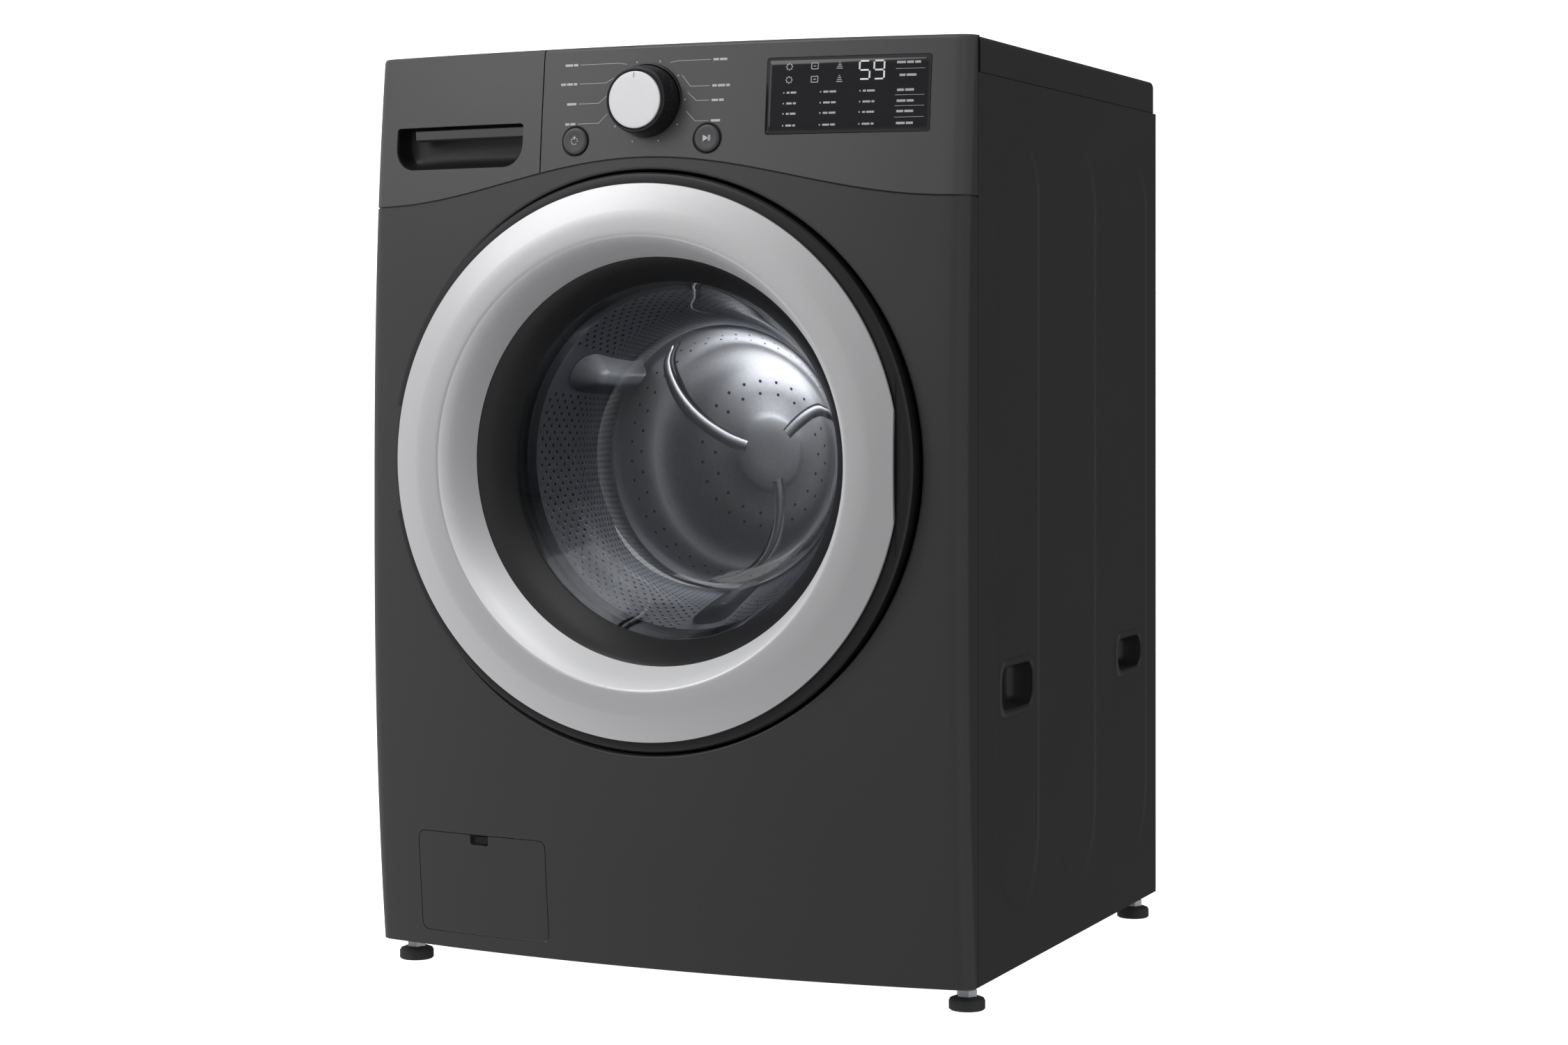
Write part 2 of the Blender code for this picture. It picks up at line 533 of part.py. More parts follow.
def tub():
    """Outer tub in two halves, its weights, bearings, motor stator, springs and dampers, and the door gasket."""
    centre = (0, 0, DOOR_Z)
    inner = TUB_R - TUB_WALL
    front = [(TUB_R, -0.0005), (TUB_R, -0.2320), (0.2260, -0.2320), (0.2260, -0.2450), (0.2225, -0.2450)]
    front += [(0.2225, -0.2280), (inner, -0.2280), (inner, -0.0005)]
    place("tub_front", turned(front, centre, segments=24), "tub_plastic")
    rear = [(TUB_R, 0.0), (TUB_R, 0.2200), (0.1600, 0.2320), (0.0500, 0.2320), (0.0500, 0.2600), (0.0353, 0.2600)]
    rear += [(0.0353, 0.2100), (0.0500, 0.2100), (0.0600, 0.2270), (0.1600, 0.2270), (inner, 0.2155), (inner, 0.0)]
    place("tub_rear", turned(rear, centre, segments=24), "tub_plastic")

    for name, middle in (("counterweight_top", 90), ("counterweight_bottom", 270)):
        weight = [(0.2320, -0.2540), (0.2850, -0.2540), (0.2850, -0.2325), (0.2320, -0.2325)]
        place(name, turned(weight, centre, segments=16, start=math.radians(middle - 62), sweep=math.radians(124)),
              "concrete")

    for name, y in (("drum_bearing_front", (0.2130, 0.2290)), ("drum_bearing_rear", (0.2420, 0.2580))):
        race = [(0.0350, y[0]), (0.0350, y[1]), (0.0178, y[1]), (0.0178, y[0])]
        place(name, turned(race, centre, segments=20), "bright_steel")

    stator = [(0.0520, 0.2330), (0.1290, 0.2330), (0.1290, 0.2560), (0.0520, 0.2560)]
    place("motor_stator", turned(stator, centre, segments=20), "cast_alloy")

    gasket = [(0.2080, DISH_FLOOR_Y - 0.0030), (0.2165, DISH_FLOOR_Y - 0.0030), (0.2165, DISH_FLOOR_Y - 0.0005)]
    gasket += [(0.2100, DISH_FLOOR_Y - 0.0005), (0.2090, -0.2480), (0.2100, -0.2400), (0.2195, -0.2380)]
    gasket += [(0.2195, -0.2290), (0.2060, -0.2340), (0.1970, -0.2560), (0.2010, -0.2600)]
    place("door_gasket", turned(gasket, centre, segments=24), "grey_rubber")

    for name, side in (("suspension_spring_left", -1), ("suspension_spring_right", 1)):
        place_spring(name, side * 0.250)
    for name, side in (("left", -1), ("right", 1)):
        tube = [(0.0, 0.0590), (0.0130, 0.0590), (0.0130, 0.2100), (0.0068, 0.2100), (0.0068, 0.0900), (0.0, 0.0900)]
        low = (side * 0.190, 0.018, 0)
        place(f"damper_tube_{name}", turned([(r, z - 0.0245) for r, z in tube], low, "Z", 20), "zinc_steel")
        place(f"damper_rod_{name}", disc(0.0060, (0.1200, 0.3220), low, "Z", 16), "bright_steel")


def place_spring(name, x):
    """An upright coil between the middle brace and the tub, as a closed round wire."""
    turns, per_turn, sides = 6, 8, 4
    coil_r, wire_r, low, high = 0.0130, 0.0016, 0.7270, 0.9370
    bm = bmesh.new()
    rings = []
    count = turns * per_turn
    for step in range(count + 1):
        angle = math.tau * step / per_turn
        z = low + wire_r + (high - low - 2 * wire_r) * step / count
        out = (math.cos(angle), math.sin(angle))
        ring = []
        for side in range(sides):
            turn = math.tau * side / sides
            reach = coil_r + wire_r * math.cos(turn)
            ring.append(bm.verts.new((x + reach * out[0], 0.030 + reach * out[1], z + wire_r * math.sin(turn))))
        rings.append(ring)
    close_stack(bm, rings)
    place(name, bm, "bright_steel")


def drum():
    """The spinning part: drum, lifters, spider, shaft and the motor's rotor."""
    centre = (0, 0, DOOR_Z)
    axis = (0, 0, DOOR_Z)
    inner = DRUM_R - SHEET
    shell = [(DRUM_R, DRUM_REAR_Y), (DRUM_R, -0.1900), (0.2600, -0.2080), (0.2300, DRUM_FRONT_Y)]
    shell += [(0.2250, -0.2080), (0.2262, -0.2072), (0.2305, -0.2105), (0.2590, -0.2064), (inner, -0.1890)]
    shell += [(inner, DRUM_REAR_Y)]
    place("drum_shell", turned(shell, centre, segments=30), "bright_steel", axis)
    back = [(0.0, DRUM_REAR_Y - 0.0080), (0.1300, DRUM_REAR_Y - 0.0080), (0.1800, DRUM_REAR_Y + 0.0004)]
    back += [(DRUM_R, DRUM_REAR_Y + 0.0004), (DRUM_R, DRUM_REAR_Y + 0.0020), (0.1795, DRUM_REAR_Y + 0.0020)]
    back += [(0.1295, DRUM_REAR_Y - 0.0064), (0.0, DRUM_REAR_Y - 0.0064)]
    place("drum_back", turned(back, centre, segments=24), "bright_steel", axis)

    hub = place("drum_spider", disc(0.0380, (DRUM_REAR_Y + 0.0040, 0.2040), centre, segments=30), "cast_alloy", axis)
    for arm in range(LIFTERS):
        add(hub, spoke(math.radians(90 + 360 / LIFTERS * arm)))
    cut(hub, disc(0.0178, (0.1860, 0.2200), centre, segments=24))
    place("drum_shaft", disc(0.0174, (0.1864, 0.2900), centre, segments=24), "bright_steel", axis)
    rotor = [(0.0179, 0.2720), (0.1380, 0.2720), (0.1380, 0.2360), (0.1480, 0.2360), (0.1480, 0.2750)]
    rotor += [(0.0179, 0.2750)]
    place("motor_rotor", turned(rotor, centre, segments=20), "zinc_steel", axis)

    for index in range(LIFTERS):
        angle = math.radians(30 + 360 / LIFTERS * index)
        place(f"drum_lifter_{index + 1}", lifter(angle), "white_plastic", axis)


def spoke(angle):
    """One arm of the spider, from the hub to the drum's rim."""
    bm = bmesh.new()
    out = (math.cos(angle), math.sin(angle))
    rings = []
    for reach, half, y in ((0.020, 0.020, (0.1760, 0.2020)), (0.262, 0.011, (0.1760, 0.1860))):
        ring = []
        for across, depth in ((-half, y[0]), (half, y[0]), (half, y[1]), (-half, y[1])):
            ring.append(bm.verts.new((reach * out[0] - across * out[1], depth,
                                      DOOR_Z + reach * out[1] + across * out[0])))
        rings.append(ring)
    close_stack(bm, rings)
    return bm


def lifter(angle):
    """A tapered paddle that stands on the drum's inner wall and runs front to back."""
    bm = bmesh.new()
    out = (math.cos(angle), math.sin(angle))
    base = math.sqrt((DRUM_R - SHEET - 0.0016) ** 2 - 0.036**2)
    rings = []
    for y, lean in ((-0.150, 0.85), (-0.125, 1.0), (0.120, 1.0), (0.145, 0.85)):
        ring = []
        tip = base - 0.056 * lean
        for across, reach in ((-0.036, base), (0.036, base), (0.012 * lean, tip), (-0.012 * lean, tip)):
            ring.append(bm.verts.new((reach * out[0] - across * out[1], y, DOOR_Z + reach * out[1] + across * out[0])))
        rings.append(ring)
    close_stack(bm, rings)
    return bm


def lower_works():
    """Drain pump and its filter cap."""
    x, z = FILTER_AT
    pump = [(0.0, -0.120), (0.0300, -0.120), (0.0300, -0.190), (0.0400, -0.195), (0.0400, -0.2700)]
    pump += [(0.0340, -0.2700), (0.0340, -0.2300), (0.0, -0.2300)]
    pump = place("drain_pump", turned(pump, (x, 0, z + 0.004), segments=20), "white_plastic")
    add(pump, block((x - 0.030, x + 0.030), (-0.262, -0.242), (0.0584, 0.0680)))
    cap = [(0.0, -0.2930), (0.0320, -0.2930), (0.0360, -0.2900), (0.0360, -0.2705), (0.0330, -0.2705)]
    cap += [(0.0330, -0.2350), (0.0, -0.2350)]
    cap = place("filter_cap", turned(cap, (x, 0, z + 0.004), segments=20), "white_plastic", (x, -0.2800, z + 0.004))
    add(cap, block((x - 0.025, x + 0.025), (-0.3040, -0.2920), (z, z + 0.008)))


def services():
    """What comes through the rear panel: water valves, drain outlet and cord gland."""
    valve = place("inlet_valve", block((-0.290, -0.180), (0.255, REAR_Y - 0.008), (0.885, 0.915)), "white_plastic")
    for x in (-0.270, -0.200):
        body = [(0.0, 0.300), (0.0128, 0.300), (0.0128, REAR_Y + 0.022), (0.0085, REAR_Y + 0.022)]
        body += [(0.0085, REAR_Y - 0.004), (0.0, REAR_Y - 0.004)]
        add(valve, turned(body, (x, 0, 0.900), segments=20))
    outlet = [(0.0190, REAR_Y - 0.0016), (0.0190, REAR_Y + 0.0020), (0.0145, REAR_Y + 0.0040)]
    outlet += [(0.0145, -KNOB_FACE_Y), (0.0120, -KNOB_FACE_Y), (0.0120, 0.270), (0.0145, 0.270)]
    outlet += [(0.0145, REAR_Y - 0.0016)]
    place("drain_outlet", turned(outlet, (0.270, 0, 0.860), segments=16), "grey_rubber")
    gland = [(0.0, REAR_Y - 0.012), (0.0095, REAR_Y - 0.012), (0.0095, REAR_Y + 0.014), (0.0, REAR_Y + 0.014)]
    place("cord_gland", turned(gland, (-0.275, 0, 0.820), segments=18), "matt_black")


def feet():
    """Four levelling feet whose threaded stems stand in the base."""
    for name, x, y in (("foot_front_left", -FOOT_X, FOOT_FRONT_Y), ("foot_front_right", FOOT_X, FOOT_FRONT_Y),
                       ("foot_rear_left", -FOOT_X, FOOT_REAR_Y), ("foot_rear_right", FOOT_X, FOOT_REAR_Y)):
        shape = [(0.0, 0.0), (PAD_R - 0.0015, 0.0), (PAD_R, 0.0020), (PAD_R, 0.0060), (0.0090, 0.0105)]
        shape += [(0.0090, 0.0145), (0.0052, 0.0145), (0.0052, BOTTOM - GAP), (0.0054, BOTTOM - GAP)]
        shape += [(0.0054, 0.0550), (0.0, 0.0550)]
        place(name, turned(shape, (x, y, 0), "Z", 14), "pad_rubber", (x, y, 0))


for leftover in list(bpy.data.objects):
    bpy.data.objects.remove(leftover)

cabinet()
pressed_front()
controls()
drawer()
door()
tub()
drum()
lower_works()
services()
feet()
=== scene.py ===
"""Looks of the front load washing machine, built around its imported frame. Metres, front towards -Y."""

import math

import bmesh
import bpy
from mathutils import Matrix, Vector


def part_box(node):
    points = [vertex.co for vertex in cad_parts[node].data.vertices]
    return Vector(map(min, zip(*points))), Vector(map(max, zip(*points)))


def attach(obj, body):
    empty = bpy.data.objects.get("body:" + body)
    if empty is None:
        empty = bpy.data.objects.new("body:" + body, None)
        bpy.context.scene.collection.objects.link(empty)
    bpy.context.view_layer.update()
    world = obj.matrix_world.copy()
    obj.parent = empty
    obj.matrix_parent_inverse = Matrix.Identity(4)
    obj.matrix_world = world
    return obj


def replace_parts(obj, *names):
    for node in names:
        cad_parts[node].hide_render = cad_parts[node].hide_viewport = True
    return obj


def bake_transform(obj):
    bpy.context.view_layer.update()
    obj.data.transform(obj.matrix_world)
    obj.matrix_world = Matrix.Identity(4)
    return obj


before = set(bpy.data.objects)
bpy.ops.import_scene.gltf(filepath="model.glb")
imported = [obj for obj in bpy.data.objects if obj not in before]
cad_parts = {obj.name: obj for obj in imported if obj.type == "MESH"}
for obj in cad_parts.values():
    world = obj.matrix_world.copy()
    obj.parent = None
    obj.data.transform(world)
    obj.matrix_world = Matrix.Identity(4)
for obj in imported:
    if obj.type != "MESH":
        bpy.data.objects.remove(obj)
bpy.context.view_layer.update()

# Driving sizes, read from the frame where a node has them
CABINET_LOW, CABINET_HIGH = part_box("side_panel_left")[0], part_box("side_panel_right")[1]
HALF_WIDTH = CABINET_HIGH[0]
REAR_Y = CABINET_HIGH[1]
BOTTOM = CABINET_LOW[2]
SEAM_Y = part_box("side_panel_right")[0][1]
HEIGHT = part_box("top_cover")[1][2]
SKIRT_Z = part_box("top_cover")[0][2]
TOP_FRONT_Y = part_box("top_cover")[0][1]
DOOR_Z = (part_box("door_glass")[0][2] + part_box("door_glass")[1][2]) / 2
KNOB_Z = (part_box("knob_cap")[0][2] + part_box("knob_cap")[1][2]) / 2
KNOB_FACE_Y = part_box("knob_cap")[0][1]
SPLIT_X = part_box("control_panel")[0][0]
DRUM_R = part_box("drum_back")[1][0]
DOOR_CENTRE = (0, 0, DOOR_Z)
KNOB_CENTRE = (0, 0, KNOB_Z)
DRUM_FRONT_Y = -0.206
DRUM_REAR_Y = 0.17
LIFTER_ANGLES = (30, 150, 270)

# The pillow-shaped front
FRONT_BASE = 0.3017
PLAN_BULGE = 0.0276
PLAN_REACH = 0.32
RISE_BULGE = 0.023
RISE_MIDDLE = 0.505
RISE_REACH = 0.478
RISE_POWER = 2.4
CORNER_R = 0.019
SEAM_LOW_Z = 0.8215
SEAM_HUMP = 0.0445
HUMP_REACH = 0.33
SEAM_GAP = 0.0019
LID_CORNER_R = 0.012
FASCIA_TOP = HEIGHT - 0.0004
ROLL = 0.0052
LEAN = math.atan(2 * PLAN_BULGE * HALF_WIDTH / PLAN_REACH**2)

# Openings, covers and controls: spans in X, Y or Z
OPENING_R = 0.3014
DISH_FLOOR_Y = -0.262
COVER_X = (-0.281, -0.119)
COVER_Z = (0.045, 0.152)
WINDOW_X = (0.133, 0.304)
WINDOW_Z = (0.885, 0.963)
HANDLE_X = (-0.313, -0.147)
HANDLE_Z = (0.8595, 0.9054)
GRIPS = (((-0.21, -0.115), (0.296, 0.341)), ((0.175, 0.261), (0.301, 0.337)))
EMBOSS_Y = (-0.1565, 0.033, 0.222)
HINGE_Z = (DOOR_Z - 0.056, DOOR_Z + 0.056)
GRIP_X = 0.2815
COVER_CUT = (-0.4, -0.29)
FASCIA_CUT = (-0.45, -0.27)

# The drawer's pocket as (inward, depth), its hood bar as (depth, height),
# a lifter as (lift, half width, shorter)
POCKET = ((-0.001, 0.0014), (0.0, 0.0006), (0.0006, 0.0012), (0.0012, 0.005), (0.0022, 0.015),
          (0.006, 0.023), (0.013, 0.026))
HOOD = ((0.002, 0.0), (0.003, -0.0085), (0.006, -0.01), (0.014, -0.01), (0.014, 0.0), (0.004, 0.001))
PADDLE = ((0.0, 0.036, 0.0), (0.01, 0.032, 0.004), (0.024, 0.0235, 0.01), (0.04, 0.016, 0.018),
          (0.049, 0.0128, 0.024), (0.0535, 0.01, 0.03), (0.0555, 0.006, 0.036))

# Plain dashes in place of words: the side, then each label's height and its dashes' lengths
KNOB_LABELS = (
    (-1, ((0.964, (0.009, 0.005)), (0.944, (0.006, 0.007, 0.004)),
          (0.923, (0.011,)), (0.902, (0.005, 0.006)))),
    (1, ((0.964, (0.006, 0.008)), (0.937, (0.005, 0.008, 0.004)),
         (0.922, (0.007, 0.005)), (0.901, (0.01,)))),
)
WINDOW_COLUMNS = ((0.155, (0.003, 0.006)), (0.194, (0.005, 0.007)), (0.235, (0.003, 0.008)),
                  (0.27, (0.007, 0.009)))
KEYS_X = 0.26
SEGMENTS = {"a": (0, 1, True), "b": (1, 0.5, False), "c": (1, -0.5, False), "d": (0, -1, True),
            "e": (-1, -0.5, False), "f": (-1, 0.5, False), "g": (0, 0, True)}

# Grey of the studio from front to back, and its lamps: name, place, aim, size, power, rays that don't see it
SURROUND = ((0.0, 0.22), (0.125, 0.37), (0.25, 0.66), (0.5, 0.6), (0.8, 0.55), (0.92, 0.1), (1.0, 0.06))
LAMPS = (
    ("front_fill", (-1.2, -4.6, 1.5), (0, -0.3, 0.5), 2.4, 165, ("glossy", "transmission")),
    ("upper_fill", (-1.1, -2.1, 1.9), (-0.15, -0.33, 0.95), 0.8, 30, ("glossy", "transmission")),
    ("top_soft", (-0.9, -1.7, 3.2), (-0.1, -0.3, 0.9), 1.5, 19, ()),
    ("left_box", (-2.7, -3.4, 2.7), (0, -0.3, 0.9), 1.9, 14, ()),
    ("drum_light", (0.0, -0.165, 0.745), (0.03, 0.06, 0.3), 0.24, 0.85, ("camera", "transmission")),
)


# ---- materials
def shader_of(name):
    """A new material, its node tree and its main shader."""
    made = bpy.data.materials.new(name)
    made.use_nodes = True
    return made, made.node_tree, made.node_tree.nodes["Principled BSDF"]


def set_inputs(target, **values):
    """Sets a node's inputs by name, with an underscore for a space."""
    for key, value in values.items():
        target.inputs[key.replace("_", " ")].default_value = value


def add_node(tree, kind, **values):
    """A new shader node with some of its inputs set."""
    made = tree.nodes.new(f"ShaderNode{kind}")
    set_inputs(made, **values)
    return made


def finish(name, colour, roughness, metallic=0.0, coat=0.0, grain=900.0, depth=0.02, vary=0.06, tint=0.06,
           stretch=(1, 1, 1), blotch=6.0):
    """A moulded, painted or metal surface: fine grain in bump, and slow changes of colour and gloss."""
    made, tree, shader = shader_of(name)
    link = tree.links.new
    where = add_node(tree, "TexCoord")
    spread = add_node(tree, "Mapping", Scale=stretch)
    link(where.outputs["Object"], spread.inputs["Vector"])
    fine = add_node(tree, "TexNoise", Scale=grain, Detail=2.0)
    slow = add_node(tree, "TexNoise", Scale=blotch, Detail=3.0)
    for noise in (fine, slow):
        link(spread.outputs["Vector"], noise.inputs["Vector"])
    shade = add_node(tree, "MapRange", To_Min=roughness - vary, To_Max=roughness + vary)
    link(slow.outputs["Fac"], shade.inputs["Value"])
    link(shade.outputs["Result"], shader.inputs["Roughness"])
    ramp = add_node(tree, "ValToRGB")
    for element, place, change in zip(ramp.color_ramp.elements, (0.3, 0.7), (1 - tint, 1 + tint)):
        element.position = place
        element.color = (*[level * change for level in colour], 1)
    link(fine.outputs["Fac"], ramp.inputs["Fac"])
    link(ramp.outputs["Color"], shader.inputs["Base Color"])
    bump = add_node(tree, "Bump", Strength=depth, Distance=0.001)
    link(fine.outputs["Fac"], bump.inputs["Height"])
    link(bump.outputs["Normal"], shader.inputs["Normal"])
    set_inputs(shader, Metallic=metallic, Coat_Weight=coat, Coat_Roughness=0.12)
    return made


def glass(name):
    """Clear glass with the slightest unevenness."""
    made, tree, shader = shader_of(name)
    noise = add_node(tree, "TexNoise", Scale=14.0)
    bump = add_node(tree, "Bump", Strength=0.015, Distance=0.001)
    tree.links.new(noise.outputs["Fac"], bump.inputs["Height"])
    tree.links.new(bump.outputs["Normal"], shader.inputs["Normal"])
    set_inputs(shader, Base_Color=(0.93, 0.95, 0.97, 1), Roughness=0.0, Transmission_Weight=1.0, IOR=1.45)
    return made


def lit(name, colour, strength):
    """A printed or lit mark: a little of its own light, with slight unevenness; on print that glow is painted
    light.
    """
    made = finish(name, colour, 0.45, vary=0.03, tint=0.04)
    shader = made.node_tree.nodes["Principled BSDF"]
    set_inputs(shader, Emission_Color=(*colour, 1), Emission_Strength=strength)
    return made


PAINT = finish("graphite_paint", (0.023, 0.023, 0.024), 0.38, 0.1, grain=2600, depth=0.015, tint=0.12)
FASCIA = finish("fascia_plastic", (0.04, 0.04, 0.041), 0.36, 0.15, grain=2200, depth=0.012, tint=0.1)
SILVER = finish("silver_trim", (0.66, 0.66, 0.67), 0.33, 0.85, grain=1800, depth=0.01, vary=0.03, tint=0.03)
KNOB_METAL = finish("knob_silver", (0.45, 0.45, 0.46), 0.34, 0.35, grain=1500, depth=0.01, vary=0.03,
                    tint=0.03)
GLOSS = finish("gloss_black", (0.006, 0.006, 0.007), 0.12, grain=700, depth=0.002, vary=0.02, tint=0.05)
# A brighter, less metallic copy of the ring's own silver for its dish: painted light for the gleam the dish
# catches.
SILVER_PAINTED_LIGHT = finish("silver_dish_painted_light", (0.74, 0.74, 0.75), 0.38, 0.5, grain=1800, depth=0.01, vary=0.03, tint=0.03)
BLACK = finish("black_plastic", (0.005, 0.005, 0.0055), 0.4, grain=1600, depth=0.03, tint=0.1)
DARK = finish("dark_grey_plastic", (0.022, 0.022, 0.024), 0.42, grain=1600, depth=0.05, tint=0.08)
BUTTON = finish("button_plastic", (0.04, 0.04, 0.042), 0.36, 0.2, coat=0.1, grain=1500, depth=0.02)
BOWL = glass("door_bowl_glass")
RUBBER = finish("gasket_rubber", (0.045, 0.047, 0.052), 0.55, grain=700, depth=0.1, tint=0.1)
FOOT_RUBBER = finish("foot_rubber", (0.018, 0.018, 0.019), 0.65, grain=700, depth=0.15, tint=0.15)
STEEL = finish("drum_steel", (0.4, 0.405, 0.43), 0.35, 1.0, grain=260, depth=0.04, vary=0.06, tint=0.05,
               stretch=(1, 6, 1))
CHROME = finish("chrome_steel", (0.72, 0.72, 0.74), 0.12, 1.0, grain=900, depth=0.02, vary=0.04, tint=0.03)
ZINC = finish("zinc_plate", (0.5, 0.51, 0.53), 0.38, 0.9, grain=120, depth=0.1, vary=0.1, tint=0.14)
ALLOY = finish("cast_alloy", (0.46, 0.47, 0.48), 0.55, 0.8, grain=420, depth=0.35, vary=0.08, tint=0.1)
TUB = finish("tub_plastic", (0.4, 0.41, 0.42), 0.52, grain=500, depth=0.12, tint=0.05)
WHITE = finish("white_plastic", (0.7, 0.71, 0.72), 0.42, grain=900, depth=0.06, tint=0.03)
LIFTER = finish("lifter_plastic", (0.21, 0.215, 0.235), 0.3, coat=0.2, grain=900, depth=0.05, tint=0.04)
BOARD = finish("circuit_board", (0.02, 0.15, 0.07), 0.45, grain=160, depth=0.25, tint=0.35)
CONCRETE = finish("concrete", (0.34, 0.33, 0.31), 0.88, grain=240, depth=0.8, tint=0.25)
# Printed marks glow faintly though they are no lamp: painted light.
PRINT_GLOW = lit("printed_marks_glow", (0.24, 0.24, 0.25), 0.04)
WINDOW_MARKS = lit("window_marks", (0.2, 0.205, 0.21), 0.06)
DIGITS = lit("window_digits", (0.34, 0.35, 0.36), 0.26)
BACKDROP = lit("backdrop_white", (1.0, 1.0, 1.0), 1.0)
NODE_LOOKS = (
    (PAINT, "rear_panel"),
    (ZINC, "base_frame top_brace suspension_spring_left suspension_spring_right motor_rotor"),
    (BOARD, "display_board"),
    (WHITE, "main_board_case dispenser_housing drain_pump inlet_valve drawer_tray motor_stator"),
    (BLACK, "door_hinge_bracket door_hinge_arm door_hinge_pin door_latch_hook door_lock"),
    (BLACK, "cord_gland filter_cap"),
    (DARK, "damper_tube_left damper_tube_right drain_outlet"),
    (TUB, "tub_front tub_rear"),
    (CONCRETE, "counterweight_top counterweight_bottom"),
    (STEEL, "drum_bearing_front drum_bearing_rear drum_shaft"),
    (CHROME, "damper_rod_left damper_rod_right"),
    (ALLOY, "drum_spider"),
)


# ---- mesh helpers
def piece(name, bm, look, body, sharp=35, recalc=True):
    """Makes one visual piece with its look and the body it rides."""
    if recalc:
        bmesh.ops.recalc_face_normals(bm, faces=bm.faces)
    mesh = bpy.data.meshes.new(name)
    bm.to_mesh(mesh)
    bm.free()
    mesh.shade_smooth()
    mesh.set_sharp_from_angle(angle=math.radians(sharp))
    mesh.materials.append(look)
    made = bpy.data.objects.new(name, mesh)
    bpy.context.scene.collection.objects.link(made)
    if body:
        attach(made, body)
    return made


def bake(target):
    """Applies every modifier on a piece."""
    graph = bpy.context.evaluated_depsgraph_get()
    mesh = bpy.data.meshes.new_from_object(target.evaluated_get(graph))
    target.modifiers.clear()
    target.data = mesh
    return target


def carve(target, bm, operation="DIFFERENCE"):
    """One Boolean step, applied at once, and its helper removed."""
    bmesh.ops.recalc_face_normals(bm, faces=bm.faces)
    mesh = bpy.data.meshes.new("helper")
    bm.to_mesh(mesh)
    bm.free()
    helper = bpy.data.objects.new("helper", mesh)
    bpy.context.scene.collection.objects.link(helper)
    step = target.modifiers.new("carve", "BOOLEAN")
    step.operation = operation
    step.solver = "EXACT"
    step.object = helper
    bake(target)
    bpy.data.objects.remove(helper)
    return target


def soften(target, width, segments=2, angle=40):
    """Rounds a piece's sharp edges."""
    edge = target.modifiers.new("soft edges", "BEVEL")
    edge.width = width
    edge.segments = segments
    edge.limit_method = "ANGLE"
    edge.angle_limit = math.radians(angle)
    edge.harden_normals = True
    return bake(target)


def loft(rings, bm=None):
    """A closed body over equal rings of points, added to a mesh where one is given."""
    bm = bmesh.new() if bm is None else bm
    rings = [[bm.verts.new(point) for point in ring] for ring in rings]
    for low, high in zip(rings, rings[1:]):
        for i in range(len(low)):
            j = (i + 1) % len(low)
            bm.faces.new((low[i], low[j], high[j], high[i]))
    bm.faces.new(rings[0])
    bm.faces.new(rings[-1])
    return bm


def prism(outline, along, span):
    """An outline swept over a span of the named axis."""
    spots = {"X": lambda u, v, w: (w, u, v), "Y": lambda u, v, w: (u, w, v), "Z": lambda u, v, w: (u, v, w)}
    return loft([[spots[along](u, v, w) for u, v in outline] for w in span])


def block(x, y, z):
    """A box from its three spans."""
    return prism([(x[0], y[0]), (x[1], y[0]), (x[1], y[1]), (x[0], y[1])], "Z", z)


def grown(span, by):
    """A span made longer at both ends."""
    return span[0] - by, span[1] + by


def rounded(u, v, radius, steps=6, low_radius=None):
    """A rectangle with round corners; the low corners may have a radius of their own."""
    points = []
    low_radius = radius if low_radius is None else low_radius
    for corner_u, corner_v, quarter in ((u[1], v[1], 0), (u[0], v[1], 1), (u[0], v[0], 2), (u[1], v[0], 3)):
        r = radius if corner_v == v[1] else low_radius
        middle_u = corner_u + (r if corner_u == u[0] else -r)
        middle_v = corner_v + (r if corner_v == v[0] else -r)
        for step in range(steps + 1):
            angle = math.pi / 2 * (quarter + step / steps)
            points.append((middle_u + r * math.cos(angle), middle_v + r * math.sin(angle)))
    return points


def turned(profile, centre, axis="Y", segments=128, closed=True):
    """Turns a profile of (radius, along) round an axis; closed joins its last point to its first."""
    bm = bmesh.new()
    columns = []
    for radius, along in profile:
        column = []
        for step in range(segments):
            if radius == 0.0 and column:
                column.append(column[0])
                continue
            angle = math.tau * step / segments
            u, v = radius * math.cos(angle), radius * math.sin(angle)
            if axis == "Y":
                depth = along(centre[0] + u, centre[2] + v) if callable(along) else along
                column.append(bm.verts.new((centre[0] + u, depth, centre[2] + v)))
            else:
                column.append(bm.verts.new((centre[0] + u, centre[1] + v, along)))
        columns.append(column)
    pairs = list(zip(columns, columns[1:])) + ([(columns[-1], columns[0])] if closed else [])
    for one, two in pairs:
        for i in range(segments):
            j = (i + 1) % segments
            corners = list(dict.fromkeys([one[i], one[j], two[j], two[i]]))
            if len(corners) > 2:
                bm.faces.new(corners)
    return bm


def disc(radius, spot, span, segments):
    """A round solid along Y."""
    profile = [(0.0, span[0]), (radius, span[0]), (radius, span[1]), (0.0, span[1])]
    return turned(profile, spot, segments=segments, closed=False)


def curve_through(points, steps=6):
    """A smooth line through a few profile points."""
    line = []
    for i in range(len(points) - 1):
        before, start = points[max(i - 1, 0)], points[i]
        end, after = points[i + 1], points[min(i + 2, len(points) - 1)]
        for step in range(steps):
            t = step / steps
            weights = (-t + 2 * t**2 - t**3, 2 - 5 * t**2 + 3 * t**3, t + 4 * t**2 - 3 * t**3, t**3 - t**2)
            line.append(tuple(sum(w * p[k] for w, p in zip(weights, (before, start, end, after))) / 2
                              for k in (0, 1)))
    return line + [points[-1]]


def front_y(x, z):
    """The pillow-shaped front: where it stands at a spot."""
    across = PLAN_BULGE * (1 - (x / PLAN_REACH) ** 2)
    rise = RISE_BULGE * (1 - abs((z - RISE_MIDDLE) / RISE_REACH) ** RISE_POWER)
    return -(FRONT_BASE + across + rise)


def behind_front(depth):
    """A profile point that follows the front at a fixed depth behind it."""
    return lambda x, z: front_y(x, z) + depth


